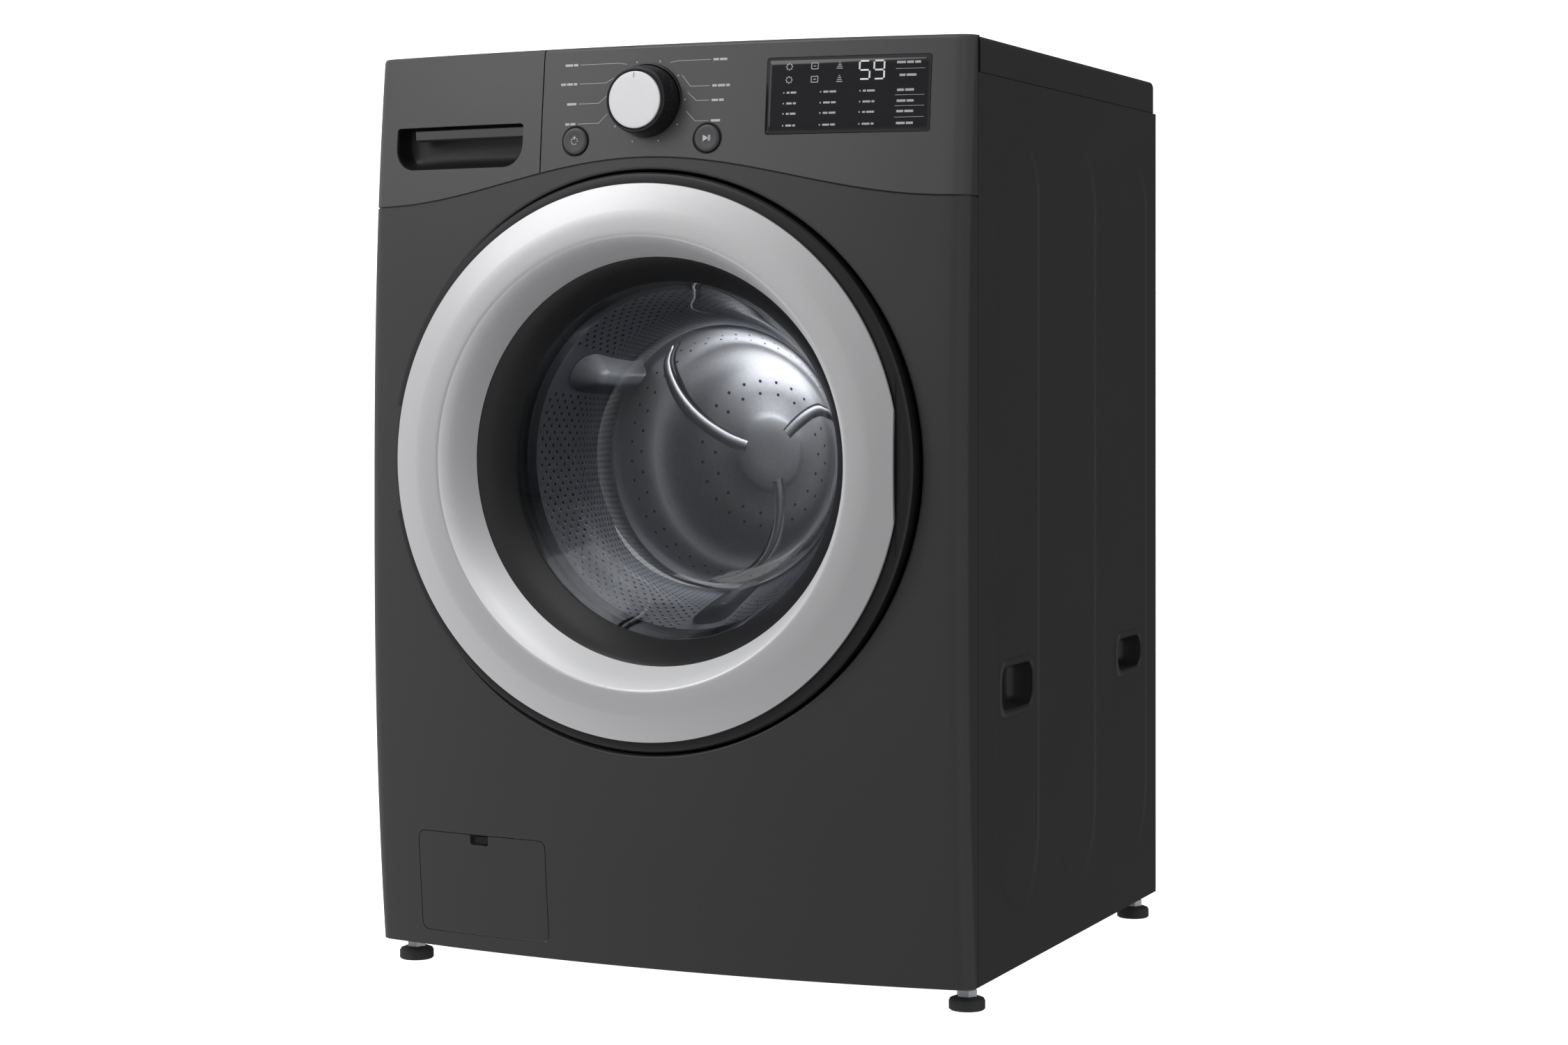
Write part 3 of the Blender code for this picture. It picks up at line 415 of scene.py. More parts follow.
def seam_z(x):
    """Height of the seam that humps over the door."""
    return SEAM_LOW_Z + SEAM_HUMP * 0.5 * (1 + math.cos(math.pi * min(abs(x) / HUMP_REACH, 1.0)))


def plan(z, inset, left, right, steps, corner_steps=10):
    """Plan line of the front; with no left or right limit it goes round that corner to the side seam."""
    middle_x = HALF_WIDTH - CORNER_R
    edge = middle_x + CORNER_R * math.sin(LEAN)
    middle_y = front_y(edge, z) + CORNER_R * math.cos(LEAN)
    reach = CORNER_R - inset
    corner = []
    for step in range(corner_steps + 1):
        angle = LEAN + (math.pi / 2 - LEAN) * step / corner_steps
        corner.append((middle_x + reach * math.sin(angle), middle_y - reach * math.cos(angle)))
    corner.append((HALF_WIDTH - inset, SEAM_Y - 0.0004))
    from_x = -edge if left is None else left
    to_x = edge if right is None else right
    first = 1 if left is None else 0
    last = steps - 1 if right is None else steps
    points = [(-x, y) for x, y in corner[::-1]] if left is None else []
    for step in range(first, last + 1):
        x = from_x + (to_x - from_x) * step / steps
        points.append((x, front_y(x, z) + inset))
    return points + (corner if right is None else [])


def skin(thick, low, high, left=None, right=None, steps=48, rows=32, lift=0.0, roll=0.0):
    """A closed skin of the front between two heights. roll turns its top edge back towards the top cover."""
    bm = bmesh.new()
    across = [point[0] for point in plan(RISE_MIDDLE, 0.0, left, right, steps)]
    sides = []
    for inset in (-lift, thick - lift):
        side = []
        for row in range(rows + 1):
            line = []
            for i, x in enumerate(across):
                upright = rows - 6 if roll else rows
                z = low(x) + (high(x) - roll - low(x)) * min(row / upright, 1)
                back = 0.0
                if row > upright:
                    angle = math.pi / 2 * (row - upright) / 6
                    z += roll * math.sin(angle)
                    back = roll * (1 - math.cos(angle))
                spot = plan(z, inset, left, right, steps)[i]
                sink = (inset + lift) * 0.5 if back else 0
                line.append(bm.verts.new((spot[0], spot[1] + back, z - sink)))
            side.append(line)
        sides.append(side)
    last = len(across) - 1
    for side in sides:
        for under, over in zip(side, side[1:]):
            for i in range(last):
                bm.faces.new((under[i], under[i + 1], over[i + 1], over[i]))
    outer, inner = sides
    for row in (0, rows):
        for i in range(last):
            bm.faces.new((outer[row][i], outer[row][i + 1], inner[row][i + 1], inner[row][i]))
    for i in (0, last):
        for row in range(rows):
            bm.faces.new((outer[row][i], outer[row + 1][i], inner[row + 1][i], inner[row][i]))
    return bm


def true_normals(target):
    """Gives the outer front skin its exact normals, so cuts leave no dents in the reflections."""
    mesh = target.data
    normals = [tuple(corner.vector) for corner in mesh.corner_normals]
    step = 0.0005
    for face in mesh.polygons:
        middle = face.center
        off = abs(middle.y - front_y(middle.x, middle.z))
        if off > 0.0008 or abs(middle.x) > PLAN_REACH or face.normal.y > -0.9:
            continue
        for loop in face.loop_indices:
            spot = mesh.vertices[mesh.loops[loop].vertex_index].co
            if abs(spot.y - front_y(spot.x, spot.z)) > 0.0006:
                continue
            slope_x = (front_y(spot.x + step, spot.z) - front_y(spot.x - step, spot.z)) / (2 * step)
            slope_z = (front_y(spot.x, spot.z + step) - front_y(spot.x, spot.z - step)) / (2 * step)
            size = math.sqrt(1 + slope_x**2 + slope_z**2)
            normals[loop] = (slope_x / size, -1 / size, slope_z / size)
    mesh.normals_split_custom_set(normals)
    return target


# ---- cabinet
def front_panel():
    """The pressed front with its two openings, and the dish behind the door."""
    panel_skin = skin(0.0022, lambda x: BOTTOM, lambda x: seam_z(x) - SEAM_GAP, steps=56, rows=44)
    panel = piece("front_panel_skin", panel_skin, PAINT, "cabinet")
    carve(panel, disc(OPENING_R + 0.0031, DOOR_CENTRE, (-0.45, -0.2), 192))
    hatch = rounded(grown(COVER_X, 0.0008), grown(COVER_Z, 0.0008), 0.0088)
    carve(panel, prism(hatch, "Y", COVER_CUT))
    true_normals(panel)
    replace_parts(panel, "front_panel")

    low, high = lambda x: seam_z(x) - SEAM_GAP + 0.0001, lambda x: seam_z(x) - 0.0001
    backing = skin(0.003, low, high, steps=56, rows=2, lift=-0.0012)
    piece("front_seam_backing", backing, BLACK, "cabinet")

    rim = [(0.003, 0.0001), (0.0022, 0.0001), (0.001, 0.0006), (0.0002, 0.0018), (0.0, 0.0035)]
    profile = [(OPENING_R + out, behind_front(depth)) for out, depth in rim]
    profile += [(OPENING_R - 0.0004, DISH_FLOOR_Y - 0.004), (OPENING_R - 0.004, DISH_FLOOR_Y)]
    profile += [(0.217, DISH_FLOOR_Y), (0.213, DISH_FLOOR_Y + 0.002), (0.212, DISH_FLOOR_Y + 0.01)]
    profile += [(0.2136, DISH_FLOOR_Y + 0.01), (0.216, DISH_FLOOR_Y + 0.0016)]
    profile += [(OPENING_R + 0.0016, DISH_FLOOR_Y + 0.0016), (OPENING_R + 0.003, behind_front(0.002))]
    piece("front_panel_dish", turned(profile, DOOR_CENTRE, segments=192), PAINT, "cabinet")
    for side in (-1, 1):
        for z in (0.31, 0.79):
            name = f"dish_screw_{side + 2}_{int(z * 100)}"
            screw(name, (side * 0.15, DISH_FLOOR_Y, z), -1, 0.004, "cabinet")


def service_cover():
    """The cover at the bottom left, cut from the same pillow shape, with a finger notch at its top."""
    low_z, high_z = grown(COVER_Z, 0.01)
    low_x, high_x = grown(COVER_X, 0.01)
    sheet = skin(0.002, lambda x: low_z, lambda x: high_z, low_x, high_x, 24, 16)
    cover = piece("service_cover_skin", sheet, PAINT, "hatch")
    carve(cover, prism(rounded(COVER_X, COVER_Z, 0.008), "Y", COVER_CUT), "INTERSECT")
    carve(cover, prism(rounded((-0.213, -0.19), (0.1415, 0.165), 0.003), "Y", COVER_CUT))
    true_normals(cover)
    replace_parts(cover, "service_cover")
    notch = rounded((-0.2125, -0.1905), (0.1415, 0.1505), 0.003)
    y = front_y(-0.2, 0.147)
    cup = piece("service_cover_notch", prism(notch, "Y", (y + 0.006, y + 0.0085)), BLACK, "hatch")
    soften(cup, 0.0008)


def screw(name, spot, out, radius, body):
    """A cross-head screw along Y, with its head towards out."""
    x, base, z = spot
    dome = [(0.0, base + out * radius * 0.42), (radius * 0.55, base + out * radius * 0.38)]
    dome += [(radius * 0.9, base + out * radius * 0.2), (radius, base - out * 0.0002),
             (0.0, base - out * 0.0002)]
    head = piece(name, turned(dome, spot, segments=24, closed=False), CHROME, body)
    arm, thin = radius * 0.62, radius * 0.14
    cut = sorted((base + out * radius * 0.16, base + out * radius))
    for a, b in ((arm, thin), (thin, arm)):
        carve(head, prism([(x - a, z - b), (x + a, z - b), (x + a, z + b), (x - a, z + b)], "Y", cut))


def side_panels():
    """Each side: a flat sheet with three long pressed fields and two pressed finger grips."""
    columns, lines = 300, 230
    front, top = SEAM_Y + 0.0005, SKIRT_Z - 0.0006
    ys = [front + (REAR_Y - SEAM_Y - 0.0005) * i / columns for i in range(columns + 1)]
    zs = [BOTTOM + (top - BOTTOM) * j / lines for j in range(lines + 1)]
    for name, side in (("left", -1), ("right", 1)):
        outer = side * HALF_WIDTH
        bm = bmesh.new()
        rows = [[bm.verts.new((outer - side * pressed(y, z), y, z)) for y in ys] for z in zs]
        back_x, ends = outer - side * 0.0035, (zs[0], zs[-1])
        low_back, high_back = [[bm.verts.new((back_x, y, z)) for y in ys] for z in ends]
        for under, over in list(zip(rows, rows[1:])) + [(rows[0], low_back), (rows[-1], high_back)]:
            for i in range(columns):
                bm.faces.new((under[i], under[i + 1], over[i + 1], over[i]))
        bm.faces.new(low_back + high_back[::-1])
        for end in (0, -1):
            bm.faces.new([row[end] for row in rows] + [high_back[end], low_back[end]])
        panel = piece(f"side_panel_{name}_skin", bm, PAINT, "cabinet", sharp=60)
        for y, z in GRIPS:
            carve(panel, prism(rounded(y, z, 0.016, 8), "X", sorted((side * 0.33, side * 0.36))))
            grip_cup(f"side_grip_{name}_{'front' if y[0] < 0 else 'rear'}", side, y, z)
        flange = sorted((outer - side * 0.0036, outer - side * 0.018))
        fold = block(flange, (REAR_Y - 0.0016, REAR_Y), (BOTTOM, top))
        piece(f"side_panel_{name}_fold", fold, PAINT, "cabinet")
        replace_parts(panel, f"side_panel_{name}")


def stadium_distance(y, z, middle, half, low, high, round_y, round_z):
    """How far a spot lies outside a tall field with round ends, negative inside."""
    if z > high - round_z:
        return (math.hypot((y - middle) / half, (z - high + round_z) / round_z) - 1) * half
    if z < low + round_y:
        return (math.hypot((y - middle) / half, (z - low - round_y) / round_y) - 1) * half
    return abs(y - middle) - half


def pressed(y, z):
    """Depth of the pressings: each long field sinks behind a soft edge."""
    depth = 0.0
    for middle in EMBOSS_Y:
        distance = stadium_distance(y, z, middle, 0.0605, 0.085, 0.886, 0.085, 0.058)
        depth += 0.0011 / (1 + math.exp(max(-40.0, min(40.0, distance / 0.0009))))
    return depth


def grip_cup(name, side, y, z):
    """The finger pocket: a rolled lip that stands a little proud, then a deep dark cup."""
    lip = ((0.007, 0.0012), (0.0062, -0.0002), (0.004, -0.001), (0.0016, -0.0006), (0.0004, 0.0016))
    cup = ((0.0, 0.006), (-0.001, 0.02), (-0.005, 0.027), (-0.012, 0.0285))
    levels = [(0.007, 0.03, 0.021)] + [(grow, depth, max(0.014 + grow, 0.004)) for grow, depth in lip + cup]
    rings = []
    for grow, depth, radius in levels:
        outline = rounded(grown(y, grow), grown(z, grow), radius, 10)
        rings.append([(side * (HALF_WIDTH - depth), u, v) for u, v in outline])
    piece(name, loft(rings), PAINT, "cabinet", sharp=50)


def top_cover():
    """The lid: flat top, soft rear and side edges, and a short skirt."""
    rings = []
    edge = ((0.0, 0.0075), (0.0004, 0.0048), (0.0016, 0.0024), (0.0036, 0.0007), (0.0062, 0.0))
    levels = [(0.003, SKIRT_Z), (0.0, SKIRT_Z)] + [(inset, HEIGHT - drop) for inset, drop in edge]
    for inset, z in levels:
        outline = [(-HALF_WIDTH + inset, TOP_FRONT_Y), (HALF_WIDTH - inset, TOP_FRONT_Y)]
        reach = LID_CORNER_R - inset
        for quarter, middle in ((0, HALF_WIDTH - LID_CORNER_R), (1, -HALF_WIDTH + LID_CORNER_R)):
            for step in range(9):
                angle = math.pi / 2 * (quarter + step / 8)
                x, y = middle + reach * math.cos(angle), REAR_Y - LID_CORNER_R + reach * math.sin(angle)
                outline.append((x, y))
        rings.append([(x, y, z) for x, y in outline])
    lid = piece("top_cover_lid", loft(rings), PAINT, "cabinet", sharp=50)
    inside_x, inside_y = HALF_WIDTH - 0.003, (TOP_FRONT_Y - 0.01, REAR_Y - 0.003)
    carve(lid, block((-inside_x, inside_x), inside_y, (SKIRT_Z - 0.01, HEIGHT - 0.01)))
    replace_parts(lid, "top_cover")
    for i, x in enumerate((-0.3, 0.0, 0.3)):
        screw(f"lid_screw_{i + 1}", (x, REAR_Y, HEIGHT - 0.02), 1, 0.0045, "cabinet")


def rear():
    """Ribs, vents, transit caps and screws on the rear panel, and the domed motor cover."""
    face = REAR_Y - 0.0019
    for i, z in enumerate((0.14, 0.19)):
        outline = rounded((-0.26, 0.26), (z - 0.009, z + 0.009), 0.0088)
        rib = prism(outline, "Y", (face - 0.0005, face + 0.0016))
        soften(piece(f"rear_rib_{i + 1}", rib, PAINT, "cabinet"), 0.0011, 3)
    for i in range(9):
        z = 0.8 + 0.011 * i
        outline = rounded((0.06, 0.15), (z, z + 0.005), 0.0024)
        vent = prism(outline, "Y", (face - 0.0004, face + 0.0018))
        soften(piece(f"rear_vent_{i + 1}", vent, PAINT, "cabinet"), 0.001)
    seat = REAR_Y - 0.0016
    bulge = [(0.0, 0.03), (0.07, 0.0298), (0.112, 0.0284), (0.128, 0.0262), (0.15, 0.0185), (0.168, 0.0108),
             (0.18, 0.0042)]
    flange = [(0.19, seat + 0.0016), (0.2, seat + 0.0015), (0.214, seat + 0.0015)]
    dome = curve_through([(radius, REAR_Y + out) for radius, out in bulge] + flange, 3)
    dome += [(0.215, seat + 0.0009), (0.215, seat), (0.188, seat)]
    dome += [(0.163, REAR_Y + 0.0095), (0.119, REAR_Y + 0.0255), (0.0, REAR_Y + 0.0275)]
    dome = turned(dome, DOOR_CENTRE, segments=144, closed=False)
    cover = piece("motor_cover", dome, PAINT, "cabinet", sharp=40)
    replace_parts(cover, "rear_cover")
    for i in range(8):
        angle = math.tau * (i + 0.5) / 8
        spot = (0.2045 * math.cos(angle), REAR_Y, DOOR_Z + 0.2045 * math.sin(angle))
        screw(f"motor_cover_screw_{i + 1}", spot, 1, 0.0045, "cabinet")
    for row, z in enumerate((0.1, 0.36, 0.62, 0.9)):
        for column, x in enumerate((0.33, -0.33)):
            screw(f"rear_screw_{2 * row + column + 1}", (x, REAR_Y, z), 1, 0.004, "cabinet")
    cap = [(0.0, 0.0035), (0.014, 0.0032), (0.017, 0.0015), (0.0175, -0.0005), (0.0, -0.0005)]
    cap = [(radius, face + out) for radius, out in cap]
    for i, x in enumerate((-0.215, 0.215)):
        for j, z in enumerate((0.3, 0.76)):
            plug = turned(cap, (x, 0, z), segments=40, closed=False)
            piece(f"transit_cap_{2 * i + j + 1}", plug, DARK, "cabinet")


# ---- controls
def top_strip(name, left, right, body):
    """The band from the fascia's rolled edge back to the top cover."""
    edge = [(x, y + ROLL) for x, y in plan(HEIGHT, 0.0004, left, right, 40) if y < SEAM_Y - 0.002]
    back_y = TOP_FRONT_Y - 0.0009
    edge = [(edge[0][0], back_y)] + edge + [(edge[-1][0], back_y)]
    piece(name, prism(edge, "Z", (HEIGHT - 0.0028, FASCIA_TOP)), FASCIA, body)


def fascia_skin(left, right, steps):
    """The skin of the fascia or the drawer's front, from the seam to the rolled top edge."""
    return skin(0.0026, seam_z, lambda x: FASCIA_TOP, left, right, steps, 26, roll=ROLL)


def fascia():
    """The control fascia with its cuts for the window, the knob and the buttons, and the window's glass."""
    panel = piece("control_fascia", fascia_skin(SPLIT_X, None, 44), FASCIA, "cabinet", sharp=50)
    carve(panel, prism(rounded(grown(WINDOW_X, 0.0004), grown(WINDOW_Z, 0.0004), 0.003), "Y", FASCIA_CUT))
    carve(panel, disc(0.035, KNOB_CENTRE, FASCIA_CUT, 72))
    for name in ("power_button", "start_button"):
        carve(panel, disc(0.0163, centre_of(name), FASCIA_CUT, 72))
    true_normals(panel)
    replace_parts(panel, "control_panel")
    top_strip("control_fascia_top", SPLIT_X, None, "cabinet")

    low_z, high_z = grown(WINDOW_Z, 0.01)
    low_x, high_x = grown(WINDOW_X, 0.01)
    sheet = skin(0.002, lambda x: low_z, lambda x: high_z, low_x, high_x, 24, 10, lift=0.0003)
    window = piece("display_glass", sheet, GLOSS, "cabinet")
    carve(window, prism(rounded(WINDOW_X, WINDOW_Z, 0.0027), "Y", FASCIA_CUT), "INTERSECT")
    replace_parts(window, "display_window")


def centre_of(node):
    """Middle of a frame node's box."""
    low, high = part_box(node)
    return [(a + b) / 2 for a, b in zip(low, high)]


def mark(bm, u, v, half_u, half_v, lift, thick=0.00025):
    """Adds one small raised tick that lies on the front surface."""
    cuts = max(1, round(half_u / 0.006))
    corners = ((v - half_v, 0), (v + half_v, 0), (v + half_v, 1), (v - half_v, 1))
    rings = []
    for i in range(cuts + 1):
        x = u - half_u + 2 * half_u * i / cuts
        rings.append([(x, front_y(x, z) - lift - out * thick, z) for z, out in corners])
    loft(rings, bm)


def slanted(bm, start, end, half, lift, thick=0.0002):
    """Adds one thin straight line on the front surface between two spots."""
    across, rise = end[0] - start[0], end[1] - start[1]
    length = math.hypot(across, rise)
    side = (-rise / length * half, across / length * half)
    cuts = max(1, round(length / 0.008))
    corners = ((-1, 0), (1, 0), (1, 1), (-1, 1))
    rings = []
    for i in range(cuts + 1):
        x, z = start[0] + across * i / cuts, start[1] + rise * i / cuts
        edges = [(x + side[0] * way, z + side[1] * way, out) for way, out in corners]
        rings.append([(u, front_y(u, v) - lift - out * thick, v) for u, v, out in edges])
    loft(rings, bm)


def seven_segment(bm, x, z, lit_parts, half_w=0.0052, half_h=0.0092, stroke=0.00085, lift=0.0004):
    """One digit made of lit bars."""
    for part in lit_parts:
        u, v, flat = SEGMENTS[part]
        half = (half_w * 0.82, stroke) if flat else (stroke, half_h * 0.4)
        mark(bm, x + u * half_w, z + v * half_h, *half, lift)


def word(bm, x, z, widths, height, lift=0.0, step=0.0012):
    """A generic label: a row of short dashes in place of words."""
    for width in widths:
        mark(bm, x + width / 2, z, width / 2, height / 2, lift)
        x += width + step


def leader(bm, start_x, z, side, turn):
    """A thin line from a label to its knob position, level first and then slanting."""
    spot = (side * 0.047 * math.sin(turn), KNOB_Z - 0.047 * math.cos(turn))
    bend = (spot[0] + side * 0.01, z)
    slanted(bm, (start_x, z), bend, 0.00022, 0.0)
    if abs(spot[1] - z) > 0.001:
        slanted(bm, bend, spot, 0.00022, 0.0)


def fascia_marks():
    """Plain dashes and leader lines beside the knob, and a tick for each knob position."""
    bm = bmesh.new()
    for side, rows in KNOB_LABELS:
        for i, (z, widths) in enumerate(rows):
            length = sum(widths) + 0.0012 * (len(widths) - 1)
            word(bm, 0.0735 if side > 0 else -0.083 - length, z, widths, 0.0024)
            leader(bm, 0.0705 if side > 0 else -0.08, z, side, math.radians(148 - 24 * i))
    for i in range(10):
        turn = math.radians(20 + 320 * i / 9) - math.pi
        mark(bm, 0.0435 * math.sin(turn), KNOB_Z + 0.0435 * math.cos(turn), 0.0007, 0.0007, 0.0)
    piece("fascia_marks", bm, PRINT_GLOW, "cabinet")


def window_marks():
    """Generic signs, dashes and two digits on the display window."""
    bm = bmesh.new()
    for column, x in enumerate((0.157, 0.184, 0.21)):
        for row, z in enumerate((0.9535, 0.94)):
            glyph(bm, x, z, column + 3 * row)
    for x, widths in WINDOW_COLUMNS:
        ticked = x < KEYS_X
        for row, z in enumerate((0.927, 0.916, 0.9055, 0.8935)):
            if ticked:
                mark(bm, x - 0.003, z, 0.0007, 0.0007, 0.0004)
            word(bm, x, z, widths[row % 2:] + widths[:row % 2], 0.002 if ticked else 0.0024, lift=0.0004)
    for z in (0.948, 0.9215, 0.9105, 0.899):
        slanted(bm, (0.268, z + 0.0005), (0.298, z + 0.0005), 0.0002, 0.0004)
    word(bm, 0.269, 0.955, (0.009, 0.007, 0.006), 0.0024, lift=0.0004)
    word(bm, 0.272, 0.942, (0.006, 0.01), 0.0024, lift=0.0004)
    piece("window_marks", bm, WINDOW_MARKS, "cabinet")

    bm = bmesh.new()
    seven_segment(bm, 0.236, 0.948, "afgcd")
    seven_segment(bm, 0.251, 0.948, "abcdfg")
    piece("window_digits", bm, DIGITS, "cabinet")


def glyph(bm, x, z, kind):
    """A small generic sign: a ring of ticks, a box, or a drop made of bars."""
    if kind % 3 == 0:
        for i in range(8):
            turn = math.tau * i / 8
            mark(bm, x + 0.003 * math.cos(turn), z + 0.003 * math.sin(turn), 0.0007, 0.0007, 0.0004)
    elif kind % 3 == 1:
        for way in (1, -1):
            mark(bm, x, z + way * 0.003, 0.0035, 0.0004, 0.0004)
        for way in (1, -1):
            mark(bm, x + way * 0.0035, z, 0.0004, 0.003, 0.0004)
        mark(bm, x, z, 0.0014, 0.0004, 0.0004)
    else:
        for i in range(4):
            mark(bm, x, z - 0.003 + 0.002 * i, 0.0032 - 0.0008 * i, 0.0004, 0.0004)


def knob():
    """The gloss black knob with its silver face, and the dark seat round it."""
    base_y = front_y(0, KNOB_Z) + 0.001
    face = KNOB_FACE_Y
    side = [(0.0304, 0.0026), (0.0316, 0.0016), (0.0332, 0.003), (0.035, 0.01), (0.0368, 0.02)]
    side = [(radius, face + depth) for radius, depth in side]
    skirt = curve_through(side + [(0.038, base_y - 0.0006)])
    profile = [(0.0, face + 0.006), (0.0304, face + 0.006)] + skirt + [(0.038, base_y), (0.0, base_y)]
    body = piece("knob_body", turned(profile, KNOB_CENTRE, closed=False), GLOSS, "knob", sharp=60)
    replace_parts(body, "knob_skirt")
    edge = [(0.0275, 0.0002), (0.0287, 0.0004), (0.0293, 0.0014), (0.0294, 0.0056)]
    edge = curve_through([(radius, face + depth) for radius, depth in edge], 4)
    cap = [(0.0, face + 0.0003), (0.02, face + 0.0002)] + edge + [(0.0, face + 0.0056)]
    cap = piece("knob_face", turned(cap, KNOB_CENTRE, closed=False), KNOB_METAL, "knob", sharp=60)
    pointer = rounded((-0.0009, 0.0009), (KNOB_Z + 0.0225, KNOB_Z + 0.028), 0.0008, 4)
    carve(cap, prism(pointer, "Y", (face - 0.002, face + 0.001)))
    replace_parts(cap, "knob_cap")
    ring = [(0.0388, base_y - 0.0018), (0.04, base_y - 0.0012), (0.0404, base_y + 0.002),
            (0.0384, base_y + 0.002)]
    piece("knob_seat", turned(ring, KNOB_CENTRE, segments=96), BLACK, "cabinet")


def power_sign(bm, x, z, lift):
    """A broken ring with an upright bar."""
    for i in range(9):
        turn = 0.52 + math.radians(37.5 * i - 30)
        mark(bm, x + 0.0036 * math.cos(turn), z + 0.0036 * math.sin(turn), 0.0006, 0.0006, lift)
    mark(bm, x, z + 0.0034, 0.0004, 0.002, lift)


def start_sign(bm, x, z, lift):
    """A triangle and two bars."""
    for i in range(6):
        mark(bm, x - 0.0032 + 0.0009 * i, z, 0.00045, 0.0032 - 0.0005 * i, lift)
    for shift in (0.0026, 0.0042):
        mark(bm, x + shift, z, 0.00045, 0.003, lift)


def buttons():
    """The two round buttons, each in a dark well, with a generic sign."""
    dome = [(0.0, 0.0006), (0.006, 0.0004), (0.0112, 0.0), (0.0134, 0.001), (0.0143, 0.0034),
            (0.0144, 0.011)]
    well = [(0.015, 0.0005), (0.0162, 0.0004), (0.0166, 0.006), (0.0149, 0.006)]
    for body, sign in (("power", power_sign), ("start", start_sign)):
        node = f"{body}_button"
        x, _, z = centre_of(node)
        face, well_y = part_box(node)[0][1], front_y(x, z)
        profile = curve_through([(radius, face + depth) for radius, depth in dome], 5)
        cap = turned(profile + [(0.0, face + 0.011)], (x, 0, z), segments=72, closed=False)
        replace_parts(piece(f"{node}_cap", cap, BUTTON, body, sharp=60), node)
        profile = [(radius, well_y + depth) for radius, depth in well]
        piece(f"{node}_well", turned(profile, (x, 0, z), segments=72), BLACK, "cabinet")
        bm = bmesh.new()
        sign(bm, x, z, well_y - face - 0.0001)
        piece(f"{node}_sign", bm, PRINT_GLOW, body)


def drawer():
    """The detergent drawer's front, its pocket in black as painted shade, and the hood bar inside the pocket.
    """
    right = SPLIT_X - 0.0014
    front = piece("drawer_face", fascia_skin(None, right, 30), FASCIA, "drawer", sharp=50)
    opening = rounded(HANDLE_X, HANDLE_Z, 0.004, 8, low_radius=0.024)
    carve(front, prism(opening, "Y", (-0.45, -0.28)))
    true_normals(front)
    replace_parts(front, "drawer_front")
    top_strip("drawer_face_top", None, right, "drawer")

    # The pocket is the fascia's plastic; its black is painted shade in the recess.
    rings = []
    for shrink, depth in POCKET:
        span_z = (HANDLE_Z[0] + shrink, HANDLE_Z[1] - shrink * 0.3)
        radius, low_radius = max(0.004 - shrink, 0.001), max(0.024 - shrink, 0.004)
        outline = rounded(grown(HANDLE_X, -shrink), span_z, radius, 8, low_radius)
        rings.append([(x, min(front_y(x, z) + depth, -0.2915), z) for x, z in outline])
    back = [(x, -0.289, z) for x, _, z in rings[0]]
    piece("drawer_pocket_shade", loft([back] + rings), BLACK, "drawer", sharp=50)

    z = HANDLE_Z[1] - 0.0045
    start, length = HANDLE_X[0] + 0.024, HANDLE_X[1] - HANDLE_X[0] - 0.0246
    across = [start + length * i / 24 for i in range(25)]
    rings = [[(x, front_y(x, z) + d, z + h) for d, h in HOOD] for x in across]
    piece("drawer_hood", loft(rings), FASCIA, "drawer", sharp=50)


# ---- door and drum
def door_ring():
    """The silver ring, its dish towards the glass in a brighter, less metallic copy of the silver as painted
    light, with the grip's flat cut on the right.
    """
    outer = [(0.2868, -0.3512), (0.2871, -0.353), (0.2866, -0.3546)]
    nose = [(0.26, -0.3624), (0.252, -0.3635), (0.24, -0.3642), (0.2345, -0.3641), (0.2322, -0.3633)]
    dish = [(0.23, -0.36), (0.2238, -0.346), (0.2175, -0.329), (0.2125, -0.3155)]
    back = [(0.2145, -0.315), (0.2258, -0.345), (0.2338, -0.361), (0.26, -0.3604), (0.286, -0.3505)]
    profile = outer + curve_through(nose, 3) + dish + back
    ring = piece("door_trim_ring", turned(profile, DOOR_CENTRE, segments=224), SILVER, "door", sharp=24)
    grip = rounded((GRIP_X, 0.33), (DOOR_Z - 0.1, DOOR_Z + 0.1), 0.011, 8)
    carve(ring, prism(grip, "Y", (-0.45, -0.3)))
    # The dish faces get the brighter copy of the silver: painted light.
    ring.data.materials.append(SILVER_PAINTED_LIGHT)
    for face in ring.data.polygons:
        middle = face.center
        if math.hypot(middle.x, middle.z - DOOR_Z) < 0.2316 and face.normal.y < -0.1:
            face.material_index = 1
    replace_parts(ring, "door_ring")


def door_carrier():
    """The black carrier behind the ring, from the rim to the glass, notched for the hinge."""
    wall = [(0.2985, -0.344), (0.2968, -0.3468), (0.2935, -0.3484), (0.2878, -0.3486), (0.234, -0.3478),
            (0.218, -0.313), (0.2124, -0.3144), (0.2098, -0.312), (0.201, -0.299), (0.1925, -0.284),
            (0.188, -0.2752), (0.19, -0.2742), (0.217, -0.3095), (0.234, -0.345), (0.2955, -0.345),
            (0.2955, -0.3003), (0.2985, -0.3003)]
    carrier = piece("door_carrier", turned(wall, DOOR_CENTRE, segments=192), BLACK, "door", sharp=30)
    carve(carrier, block((-0.32, -0.2855), (-0.35, -0.299), HINGE_Z))
    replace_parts(carrier, "door_frame")


def door_bowl():
    """The deep glass bowl with its flange."""
    wall = [(0.1876, -0.2736), (0.18, -0.248), (0.17, -0.217), (0.159, -0.186), (0.15, -0.169),
            (0.137, -0.1575), (0.115, -0.152), (0.07, -0.1487), (0.0, -0.1478)]
    wall = curve_through(wall, 4)
    inside = [(r + (0.0044 if r > 0.14 else 0.0), y + (0.0046 if r < 0.16 else 0.0018)) for r, y in wall]
    flange = [(0.199, -0.2742), (0.1893, -0.2744)]
    shell = flange + wall + inside[::-1] + [(0.199, -0.2712)]
    bowl = piece("door_bowl", turned(shell, DOOR_CENTRE, segments=160, closed=False), BOWL, "door")
    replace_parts(bowl, "door_glass")


